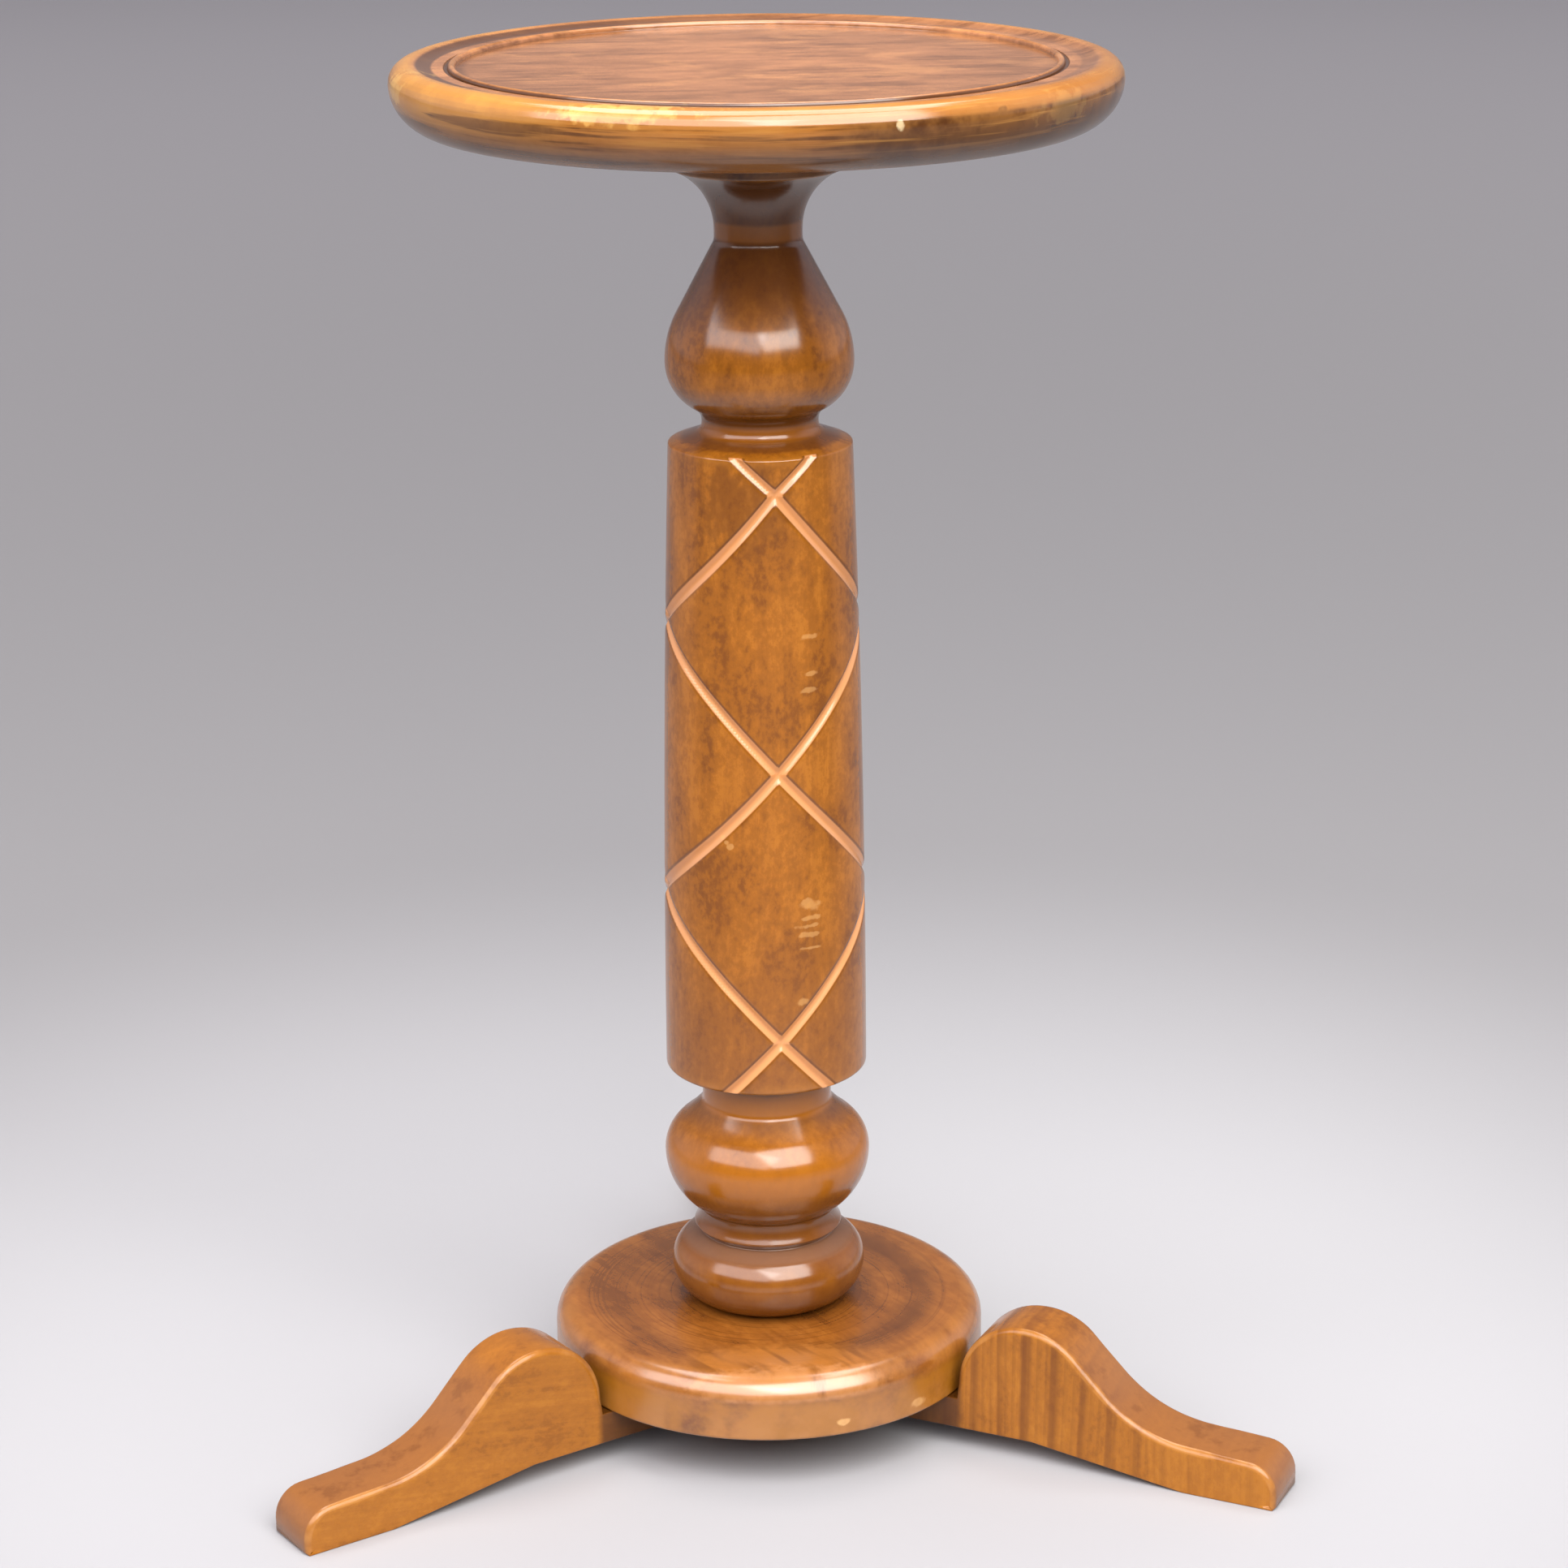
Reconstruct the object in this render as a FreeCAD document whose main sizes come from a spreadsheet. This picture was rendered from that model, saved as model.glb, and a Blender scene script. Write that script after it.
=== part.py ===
import FreeCAD
import Part
import math
import os
import Sketcher

# Wine table: a dished round top on a turned and carved column, which stands on a disc with three feet.
# Millimetres and degrees. The column's axis is Z, the floor is z = 0 and one foot points along +Y.

# Driving sizes: name, value, what it measures
SIZES = [
    # Table top
    ("top_radius", 127.0, "table top to the tip of its rim"),
    ("top_thickness", 21.6, "underside to the crest of the rim"),
    ("rim_nose_drop", 10.8, "crest of the rim down to its tip"),
    ("rim_width", 8.5, "tip of the rim in to its crest"),
    ("rim_foot_width", 8.5, "tip of the rim in to the flat underside"),
    ("rim_crest_rounding", 2.4, "rounding along the crest of the rim"),
    ("rim_foot_rounding", 1.5, "rounding along the underside's edge"),
    ("rim_hollow_width", 7.0, "crest of the rim in to the flat band"),
    ("band_drop", 2.0, "crest of the rim down to the band"),
    ("band_width", 4.0, "flat band, outer edge to groove"),
    ("groove_width", 1.5, "groove beside the band"),
    ("groove_depth", 0.8, "band down to the field"),
    ("top_bead_radius", 1.3, "half the width of the raised bead"),
    ("top_bead_side", 0.55, "upright side of the raised bead"),
    # Column, from the disc up to the lower edge of the shaft
    ("spigot_radius", 15.0, "spigot in the disc"),
    ("spigot_length", 14.0, "spigot in the disc"),
    ("bead_seat_radius", 20.5, "flat ring on which the column sits"),
    ("bead_radius", 36.0, "lowest bead at its widest"),
    ("bead_lower_height", 16.3, "disc to the bead's widest circle"),
    ("bead_upper_height", 13.6, "bead's widest circle to the quirk"),
    ("quirk_radius", 26.0, "sharp line between bead and ring"),
    ("ring_foot_radius", 27.2, "flared ring over the bead, at its foot"),
    ("ring_radius", 25.8, "flared ring, at its upper end"),
    ("ring_height", 6.6, "flared ring over the bead"),
    ("torus_foot_radius", 26.0, "sharp line between ring and torus"),
    ("torus_crease_height", 1.0, "ring to the torus"),
    ("torus_radius", 38.0, "torus at its widest"),
    ("torus_lower_height", 21.6, "torus below its widest circle"),
    ("torus_upper_height", 13.2, "torus above its widest circle"),
    ("torus_shoulder_radius", 30.2, "torus where its straight shoulder starts"),
    ("torus_shoulder_height", 5.7, "straight shoulder of the torus"),
    ("lower_neck_foot_radius", 24.6, "end of the torus's shoulder"),
    ("lower_neck_flare", 2.2, "height of the hollow at the neck's foot"),
    ("lower_neck_radius", 23.8, "neck between torus and shaft"),
    ("lower_neck_height", 9.8, "straight part of that neck"),
    ("shaft_undercut_height", 3.3, "hollow underside of the shaft"),
    # Column, carved shaft
    ("shaft_foot_radius", 37.0, "shaft at its lower edge"),
    ("shaft_foot_rounding", 1.3, "width of the shaft's rounded lower edge"),
    ("shaft_foot_rise", 1.5, "height of the shaft's rounded lower edge"),
    ("shaft_top_radius", 32.8, "shaft at its upper edge"),
    ("shaft_length", 233.0, "shaft between its two worn edges"),
    ("shaft_bow_radius", 7000.0, "radius of the shaft's slight swelling"),
    ("shaft_arris", 0.5, "broken upper edge of the shaft"),
    # Column, from the upper edge of the shaft to the table top
    ("shaft_shoulder_height", 3.4, "sloping shoulder of the shaft"),
    ("collar_foot_radius", 23.0, "collar where it leaves that shoulder"),
    ("collar_flare", 3.5, "height of the hollow at the collar's foot"),
    ("collar_radius", 20.7, "collar over the shaft"),
    ("collar_height", 0.9, "straight part of the collar"),
    ("bulb_hollow_height", 4.4, "hollow between collar and bulb"),
    ("bulb_foot_radius", 23.4, "bulb where it leaves that hollow"),
    ("bulb_radius", 33.4, "bulb at its widest"),
    ("bulb_lower_height", 16.5, "bulb below its widest circle"),
    ("bulb_upper_height", 16.6, "bulb above its widest circle"),
    ("bulb_shoulder_radius", 29.4, "bulb where its straight shoulder starts"),
    ("bulb_shoulder_height", 24.2, "straight shoulder of the bulb"),
    ("bulb_top_radius", 16.5, "bulb at the end of its shoulder"),
    ("neck_flare", 3.2, "height of the hollow at the neck's foot"),
    ("neck_radius", 15.7, "neck under the table top"),
    ("neck_height", 3.2, "straight part of the neck"),
    ("cove_reach", 36.0, "cove where it meets the flange"),
    ("cove_height", 20.8, "cove over the neck"),
    ("flange_radius", 38.5, "flange under the table top"),
    ("flange_lip", 2.5, "rounded lower edge of the flange"),
    ("flange_height", 13.9, "upright edge of the flange"),
    ("tenon_radius", 12.5, "tenon in the table top"),
    ("tenon_length", 11.0, "tenon in the table top"),
    # Carving on the shaft
    ("carving_half_turn", 100.9, "height that a groove climbs in half a turn"),
    ("carving_cross_height", 119.8, "shaft's lower edge to the middle crossing"),
    ("carving_ease", 3.8, "how far the grooves steepen at the front and back"),
    ("carving_depth", 1.5, "grooves below the shaft's surface"),
    ("carving_mouth", 5.6, "grooves at the surface, measured along the shaft"),
    ("carving_front_angle", 274.2, "direction of the front crossings about the axis"),
    # Base disc
    ("disc_radius", 80.2, "base disc"),
    ("disc_thickness", 23.2, "base disc"),
    ("disc_edge_rounding", 9.0, "upper edge of the disc"),
    ("disc_arris", 0.8, "broken lower edge of the disc"),
    # Feet
    ("foot_width", 25.0, "board that the feet are sawn from"),
    ("foot_gap", 2.3, "disc's edge to a foot's upright inner end"),
    ("foot_reach", 206.0, "column's axis to the toe's end"),
    ("foot_lift", 8.0, "floor to the raised underside"),
    ("tongue_thickness", 11.8, "tongue under the disc"),
    ("tongue_inner_radius", 28.0, "column's axis to the tongue's end"),
    ("hump_height", 52.3, "floor to the top of the hump"),
    ("hump_share", 0.2146, "radius of the hump, as a share of the foot outside the disc"),
    ("foot_cove_share", 0.397, "radius of the hollow before the toe, as the same share"),
    ("toe_height", 18.0, "floor to the start of the toe's top"),
    ("toe_radius", 11.0, "round upper corner of the toe"),
    ("toe_pad_share", 0.283, "flat under the toe, as the same share"),
    ("foot_ramp_share", 0.478, "slope from that flat to the raised underside, as the same share"),
    ("foot_edge_rounding", 2.3, "rounded edges of a foot"),
    ("foot_slope_angle", 45.0, "slope below the hump"),
    ("toe_fall_angle", 3.0, "fall of the toe's top"),
    # Screws
    ("screw_length", 25.0, "foot screw, head included"),
    ("screw_head_radius", 4.3, "foot screw's countersunk head"),
    ("screw_shank_radius", 2.2, "foot screw's shank"),
    ("screw_tip_length", 5.0, "foot screw's point"),
    ("screw_slot_width", 1.2, "slot in the head"),
    ("screw_slot_depth", 0.8, "slot in the head"),
    ("screw_inset", 14.0, "tongue's end to the inner screw"),
    ("screw_spacing", 26.0, "inner screw to outer screw"),
    ("coach_length", 50.0, "coach screw under its head"),
    ("coach_shank_radius", 4.0, "coach screw's shank"),
    ("coach_tip_length", 8.0, "coach screw's point"),
    ("coach_head_radius", 7.5, "corners of the hexagon head"),
    ("coach_head_height", 5.5, "hexagon head"),
    ("washer_radius", 12.0, "washer under the coach screw"),
    ("washer_thickness", 1.6, "washer under the coach screw"),
    # Fits
    ("spigot_clearance", 0.15, "spigots in their holes, all round"),
    ("screw_clearance", 0.1, "screws in their holes, all round"),
    ("drill_clearance", 0.5, "blind holes past the end of what they hold"),
    ("overrun", 1.0, "cuts past the surface that they open"),
]

FOOT_ANGLES = {"foot_back": 90, "foot_left": 210, "foot_right": 330}
FULL_ANGLE = 360
HALF_ANGLE = 180
CARVING_SECTIONS_PER_TURN = 12
HEXAGON_SIDES = 6
COUNTERSINK_ANGLE = 90
AXIS = "axis"
UP = FreeCAD.Vector(0, 0, 1)
TOLERANCE = 1e-6

# Numbers that a sketch gives to its axes, to its origin and to the points of a line or an arc
LEVEL_AXIS, UPRIGHT_AXIS = -1, -2
START, END, CENTRE = 1, 2, 3
ORIGIN = (LEVEL_AXIS, START)

doc = FreeCAD.newDocument("wine_table")
sizes = doc.addObject("Spreadsheet::Sheet", "sizes")
for row, (size_name, size, meaning) in enumerate(SIZES, start=1):
    sizes.set(f"A{row}", size_name)
    sizes.set(f"B{row}", str(size))
    sizes.setAlias(f"B{row}", size_name)
    sizes.set(f"C{row}", meaning)
doc.recompute()


def length(terms):
    """Value of a sum of named sizes, such as "disc_radius + foot_gap". A term may be a product, a*b."""
    total = 0
    sign = 1
    for word in terms.split():
        if word in ("+", "-"):
            sign = 1 if word == "+" else -1
        else:
            total += sign * math.prod(getattr(sizes, name) for name in word.split("*"))
    return total


def bound(terms):
    """The same sum as an expression on the spreadsheet."""
    words = terms.split()
    return " ".join(word if word in ("+", "-") else f"sizes.{word.replace('*', ' * sizes.')}" for word in words)


def turned_signs(terms):
    """A sum as it reads after a minus."""
    return " ".join({"+": "-", "-": "+"}.get(word, word) for word in terms.split())


def foot_share(share):
    """That share of the stretch of foot outside the disc."""
    return f"{share}*foot_reach - {share}*disc_radius - {share}*foot_gap"


def total_rise(steps):
    """Sum of names that a run of outline steps climbs."""
    return " + ".join(move.partition(" ")[2] for _, move, _ in steps if move.startswith("up "))


def new_sketch(body, name, role):
    sketch = body.newObject("Sketcher::SketchObject", f"{body.Name}_{name}")
    plane = next(item for item in body.Origin.OriginFeatures if item.Role == role)
    sketch.AttachmentSupport = [(plane, "")]
    sketch.MapMode = "FlatFace"
    return sketch


def constrain(sketch, kind, *where):
    sketch.addConstraint(Sketcher.Constraint(kind, *where))


def dimension(sketch, kind, where, terms):
    """Add a driving dimension that follows the spreadsheet."""
    value = length(terms)
    if kind == "Angle":
        value = math.radians(value)
    index = sketch.addConstraint(Sketcher.Constraint(kind, *where, value))
    sketch.setExpression(f"Constraints[{index}]", bound(terms))


def add_segment(sketch, start, end, centre=None):
    """Add a line or an arc. Returns its index and the numbers of its start and end points."""
    start_point = FreeCAD.Vector(*start, 0)
    end_point = FreeCAD.Vector(*end, 0)
    if centre is None:
        return sketch.addGeometry(Part.LineSegment(start_point, end_point)), START, END
    middle = FreeCAD.Vector(*centre, 0)
    from_angle = math.atan2(start[1] - centre[1], start[0] - centre[0])
    to_angle = math.atan2(end[1] - centre[1], end[0] - centre[0])
    circle = Part.Circle(middle, UP, middle.distanceToPoint(start_point))
    if (start_point - middle).cross(end_point - middle).z > 0:
        return sketch.addGeometry(Part.ArcOfCircle(circle, from_angle, to_angle)), START, END
    return sketch.addGeometry(Part.ArcOfCircle(circle, to_angle, from_angle)), END, START


def arc_centre(start, end, shape):
    """Centre of an arc that is upright or level at one end, or that bows out by a named radius."""
    width = end[0] - start[0]
    height = end[1] - start[1]
    half_square = (width ** 2 + height ** 2) / 2
    if shape == "upright at start":
        return start[0] + half_square / width, start[1]
    if shape == "upright at end":
        return end[0] - half_square / width, end[1]
    if shape == "level at end":
        return end[0], end[1] - half_square / height
    chord = math.hypot(width, height)
    distance = math.sqrt(length(shape) ** 2 - (chord / 2) ** 2)
    middle = ((start[0] + end[0]) / 2, (start[1] + end[1]) / 2)
    return middle[0] - distance * height / chord, middle[1] + distance * width / chord


def constrain_arc(sketch, index, near, far, shape):
    if shape == "upright at start":
        constrain(sketch, "Horizontal", index, CENTRE, index, near)
    elif shape == "upright at end":
        constrain(sketch, "Horizontal", index, CENTRE, index, far)
    elif shape == "level at end":
        constrain(sketch, "Vertical", index, CENTRE, index, far)
    else:
        dimension(sketch, "Radius", (index,), shape)


def place_radius(sketch, point, radius):
    if radius == AXIS:
        constrain(sketch, "PointOnObject", *point, UPRIGHT_AXIS)
    else:
        dimension(sketch, "DistanceX", (*ORIGIN, *point), radius)


def turn(body, first_radius, steps):
    """Turn an outline on the lathe.

    Each step is a radius, a move (level, up, down or at a height) and, for an arc, its shape.
    The outline starts on the body's base plane and closes with a straight line.
    """
    sketch = new_sketch(body, "outline", "XZ_Plane")
    start = (0 if first_radius == AXIS else length(first_radius), 0)
    here = start
    first_point = None
    last_point = None
    last_radius = first_radius
    for radius, move, shape in steps:
        way, _, terms = move.partition(" ")
        height = {"level": here[1], "at": 0}.get(way, here[1])
        if terms:
            height += -length(terms) if way == "down" else length(terms)
        there = (0 if radius == AXIS else length(radius), height)
        centre = arc_centre(here, there, shape) if shape else None
        index, near, far = add_segment(sketch, here, there, centre)
        if first_point is None:
            first_point = (index, near)
            place_radius(sketch, first_point, first_radius)
            constrain(sketch, "PointOnObject", *first_point, LEVEL_AXIS)
        else:
            constrain(sketch, "Coincident", *last_point, index, near)
        if radius == last_radius and radius != AXIS and not shape:
            constrain(sketch, "Vertical", index)
        else:
            place_radius(sketch, (index, far), radius)
        if way == "level":
            constrain(sketch, "Horizontal", index)
        elif way == "up":
            dimension(sketch, "DistanceY", (index, near, index, far), terms)
        elif way == "down":
            dimension(sketch, "DistanceY", (index, far, index, near), terms)
        else:
            dimension(sketch, "DistanceY", (*ORIGIN, index, far), terms)
        if shape:
            constrain_arc(sketch, index, near, far, shape)
        here = there
        last_point = (index, far)
        last_radius = radius
    index, near, far = add_segment(sketch, here, start)
    constrain(sketch, "Coincident", *last_point, index, near)
    constrain(sketch, "Coincident", index, far, *first_point)
    turning = body.newObject("PartDesign::Revolution", f"{body.Name}_turning")
    turning.Profile = sketch
    turning.ReferenceAxis = (sketch, ["V_Axis"])
    turning.Angle = FULL_ANGLE
    doc.recompute()
    return turning


def round_edges(body, base, name, radius, is_chosen):
    chosen = [f"Edge{number}" for number, edge in enumerate(base.Shape.Edges, start=1) if is_chosen(edge)]
    rounding = body.newObject("PartDesign::Fillet", f"{body.Name}_{name}")
    rounding.Base = (base, chosen)
    rounding.setExpression("Radius", bound(radius))
    doc.recompute()
    return rounding


def is_circle(edge, radius, height):
    curve = edge.Curve
    if not isinstance(curve, Part.Circle):
        return False
    return abs(curve.Radius - length(radius)) < TOLERANCE and abs(curve.Center.z - height) < TOLERANCE


def rectangle(sketch, left, right, low, high):
    """Add a rectangle whose sides lie at the given sums of names."""
    corners = [(left, low), (right, low), (right, high), (left, high)]
    places = [(length(across), length(up)) for across, up in corners]
    lines = [add_segment(sketch, start, end)[0] for start, end in zip(places, places[1:] + places[:1])]
    for side, line in enumerate(lines):
        constrain(sketch, "Coincident", line, END, lines[(side + 1) % len(lines)], START)
        constrain(sketch, "Vertical" if side % 2 else "Horizontal", line)
    dimension(sketch, "DistanceX", (*ORIGIN, lines[0], START), left)
    dimension(sketch, "DistanceX", (*ORIGIN, lines[0], END), right)
    dimension(sketch, "DistanceY", (*ORIGIN, lines[0], START), low)
    dimension(sketch, "DistanceY", (*ORIGIN, lines[2], START), high)


# Radii and lengths that follow the foot's reach
HUMP_RADIUS = foot_share("hump_share")
FOOT_COVE_RADIUS = foot_share("foot_cove_share")
TOE_PAD_LENGTH = foot_share("toe_pad_share")
FOOT_RAMP_LENGTH = foot_share("foot_ramp_share")

# Heights above the floor
DISC_UNDERSIDE = "foot_lift + tongue_thickness"
DISC_TOP = f"{DISC_UNDERSIDE} + disc_thickness"

# Outline of the column, from its spigot up
COLUMN_FOOT = [
    ("spigot_radius", "level", None),
    ("spigot_radius", "up spigot_length", None),
    ("bead_seat_radius", "level", None),
    ("bead_radius", "up bead_lower_height", "upright at end"),
    ("quirk_radius", "up bead_upper_height", "upright at start"),
    ("ring_foot_radius", "level", None),
    ("ring_radius", "up ring_height", "upright at end"),
    ("torus_foot_radius", "up torus_crease_height", None),
    ("torus_radius", "up torus_lower_height", "upright at end"),
    ("torus_shoulder_radius", "up torus_upper_height", "upright at start"),
    ("lower_neck_foot_radius", "up torus_shoulder_height", None),
    ("lower_neck_radius", "up lower_neck_flare", "upright at end"),
    ("lower_neck_radius", "up lower_neck_height", None),
    ("shaft_foot_radius - shaft_foot_rounding", "up shaft_undercut_height", None),
    ("shaft_foot_radius", "up shaft_foot_rise", "upright at end"),
]
COLUMN_SHAFT = [("shaft_top_radius", "up shaft_length", "shaft_bow_radius")]
COLUMN_HEAD = [
    ("shaft_top_radius - shaft_arris", "up shaft_arris", None),
    ("collar_foot_radius", "up shaft_shoulder_height", None),
    ("collar_radius", "up collar_flare", "upright at end"),
    ("collar_radius", "up collar_height", None),
    ("bulb_foot_radius", "up bulb_hollow_height", "upright at start"),
    ("bulb_radius", "up bulb_lower_height", "upright at end"),
    ("bulb_shoulder_radius", "up bulb_upper_height", "upright at start"),
    ("bulb_top_radius", "up bulb_shoulder_height", None),
    ("neck_radius", "up neck_flare", "upright at end"),
    ("neck_radius", "up neck_height", None),
    ("cove_reach", "up cove_height", "upright at start"),
    ("flange_radius", "up flange_lip", "upright at end"),
    ("flange_radius", "up flange_height", None),
]
COLUMN_BASE = f"{DISC_TOP} - spigot_length"
SHAFT_FOOT = f"{COLUMN_BASE} + {total_rise(COLUMN_FOOT)}"
TOP_UNDERSIDE = f"{COLUMN_BASE} + {total_rise(COLUMN_FOOT + COLUMN_SHAFT + COLUMN_HEAD)}"


def make_table_top():
    body = doc.addObject("PartDesign::Body", "table_top")
    rim_foot = "top_radius - rim_foot_width"
    rim_crest = "top_radius - rim_width"
    band_outer = f"{rim_crest} - rim_hollow_width"
    groove_outer = f"{band_outer} - band_width"
    bead_outer = f"{groove_outer} - groove_width"
    bead_middle = f"{bead_outer} - top_bead_radius"
    bead_inner = f"{bead_middle} - top_bead_radius"
    mortise_radius = "tenon_radius + spigot_clearance"
    turning = turn(body, mortise_radius, [
        (rim_foot, "level", None),
        ("top_radius", "up top_thickness - rim_nose_drop", "upright at end"),
        (rim_crest, "up rim_nose_drop", "upright at start"),
        (band_outer, "down band_drop", "level at end"),
        (groove_outer, "level", None),
        (bead_outer, "down groove_depth", "upright at start"),
        (bead_outer, "up top_bead_side", None),
        (bead_middle, "up top_bead_radius", "upright at start"),
        (bead_inner, "down top_bead_radius", "upright at end"),
        (bead_inner, "down top_bead_side", None),
        (AXIS, "level", None),
        (AXIS, "at tenon_length + drill_clearance", None),
        (mortise_radius, "level", None),
    ])
    crest = length("top_thickness")
    crest_rounding = round_edges(
        body, turning, "crest", "rim_crest_rounding", lambda edge: is_circle(edge, rim_crest, crest))
    round_edges(
        body, crest_rounding, "underside", "rim_foot_rounding", lambda edge: is_circle(edge, rim_foot, 0))
    body.setExpression("Placement.Base.z", bound(TOP_UNDERSIDE))
    return body


def shaft_radius(height):
    """Radius of the bowed shaft at a height above its lower edge."""
    foot = (length("shaft_foot_radius"), 0)
    top = (length("shaft_top_radius"), length("shaft_length"))
    bow_centre = arc_centre(foot, top, "shaft_bow_radius")
    return bow_centre[0] + math.sqrt(length("shaft_bow_radius") ** 2 - (height - bow_centre[1]) ** 2)


def carving_section(hand, side_angle, turned):
    """V-shaped section of a groove where it has turned that far past the middle crossing."""
    rise = length("carving_half_turn") / math.pi
    middle = length("carving_cross_height") + rise * turned + length("carving_ease") * math.sin(2 * turned)
    widening = length("carving_depth + overrun") / length("carving_depth")
    half_mouth = length("carving_mouth") / 2 * widening
    angle = math.radians(length("carving_front_angle") + side_angle) + hand * turned
    corners = []
    for across, outward in ((0, "- carving_depth"), (half_mouth, "overrun"), (-half_mouth, "overrun")):
        radius = shaft_radius(middle + across) + length(outward)
        height = length(SHAFT_FOOT) + middle + across
        corners.append(FreeCAD.Vector(radius * math.cos(angle), radius * math.sin(angle), height))
    return Part.makePolygon(corners + corners[:1])


def make_groove(name, hand, side_angle):
    """Solid that a V-shaped gouge sweeps along one groove, past both ends of the shaft."""
    rise = length("carving_half_turn") / math.pi
    spare = length("overrun + carving_ease + carving_mouth")
    lowest = -(length("carving_cross_height") + spare) / rise
    highest = (length("shaft_length - carving_cross_height") + spare) / rise
    count = math.ceil((highest - lowest) / (2 * math.pi) * CARVING_SECTIONS_PER_TURN)
    step = (highest - lowest) / count
    sections = [carving_section(hand, side_angle, lowest + step * number) for number in range(count + 1)]
    groove = doc.addObject("Part::Feature", name)
    groove.Shape = Part.makeLoft(sections, True)
    return groove


def make_column():
    body = doc.addObject("PartDesign::Body", "turned_column")
    pilot_radius = "coach_shank_radius + screw_clearance"
    pilot_depth = "coach_length + drill_clearance - washer_thickness - disc_thickness + spigot_length"
    turn(body, pilot_radius, COLUMN_FOOT + COLUMN_SHAFT + COLUMN_HEAD + [
        ("tenon_radius", "level", None),
        ("tenon_radius", "up tenon_length", None),
        (AXIS, "level", None),
        (AXIS, f"at {pilot_depth}", None),
        (pilot_radius, "level", None),
    ])
    body.setExpression("Placement.Base.z", bound(COLUMN_BASE))
    carved = body
    for hand_name, hand in (("right", 1), ("left", -1)):
        for side_name, side_angle in (("front", 0), ("back", HALF_ANGLE)):
            cut = doc.addObject("Part::Cut", f"carved_{hand_name}_{side_name}")
            cut.Base = carved
            cut.Tool = make_groove(f"groove_{hand_name}_{side_name}", hand, side_angle)
            carved = cut
    doc.recompute()
    if carved.Shape.Volume >= body.Shape.Volume:
        raise RuntimeError("the carving cuts nothing")
    return carved


def make_base_disc():
    body = doc.addObject("PartDesign::Body", "base_disc")
    screw_hole = "coach_shank_radius + screw_clearance"
    bore = "spigot_radius + spigot_clearance"
    turning = turn(body, screw_hole, [
        ("disc_radius - disc_arris", "level", None),
        ("disc_radius", "up disc_arris", None),
        ("disc_radius", "at disc_thickness - disc_edge_rounding", None),
        ("disc_radius - disc_edge_rounding", "up disc_edge_rounding", "upright at start"),
        (bore, "level", None),
        (bore, "down spigot_length + drill_clearance", None),
        (screw_hole, "level", None),
    ])
    pilots = new_sketch(body, "pilots", "XY_Plane")
    for place in ("screw_inset", "screw_inset + screw_spacing"):
        centre = FreeCAD.Vector(0, length(f"tongue_inner_radius + {place}"), 0)
        radius = "screw_shank_radius + screw_clearance"
        circle = pilots.addGeometry(Part.Circle(centre, UP, length(radius)))
        constrain(pilots, "PointOnObject", circle, CENTRE, UPRIGHT_AXIS)
        dimension(pilots, "DistanceY", (*ORIGIN, circle, CENTRE), f"tongue_inner_radius + {place}")
        dimension(pilots, "Radius", (circle,), radius)
    drilled = body.newObject("PartDesign::Pocket", "base_disc_drilled")
    drilled.Profile = pilots
    drilled.setExpression("Length", bound("screw_length - tongue_thickness + drill_clearance"))
    drilled.Reversed = True
    pattern = body.newObject("PartDesign::PolarPattern", "base_disc_drill_pattern")
    pattern.Originals = [drilled]
    pattern.Axis = (next(item for item in body.Origin.OriginFeatures if item.Role == "Z_Axis"), [""])
    pattern.Angle = FULL_ANGLE
    pattern.Occurrences = len(FOOT_ANGLES)
    body.Tip = pattern
    doc.recompute()
    if pattern.Shape.Volume >= turning.Shape.Volume:
        raise RuntimeError("the disc's pilot holes cut nothing")
    body.setExpression("Placement.Base.z", bound(DISC_UNDERSIDE))
    return body


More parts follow.
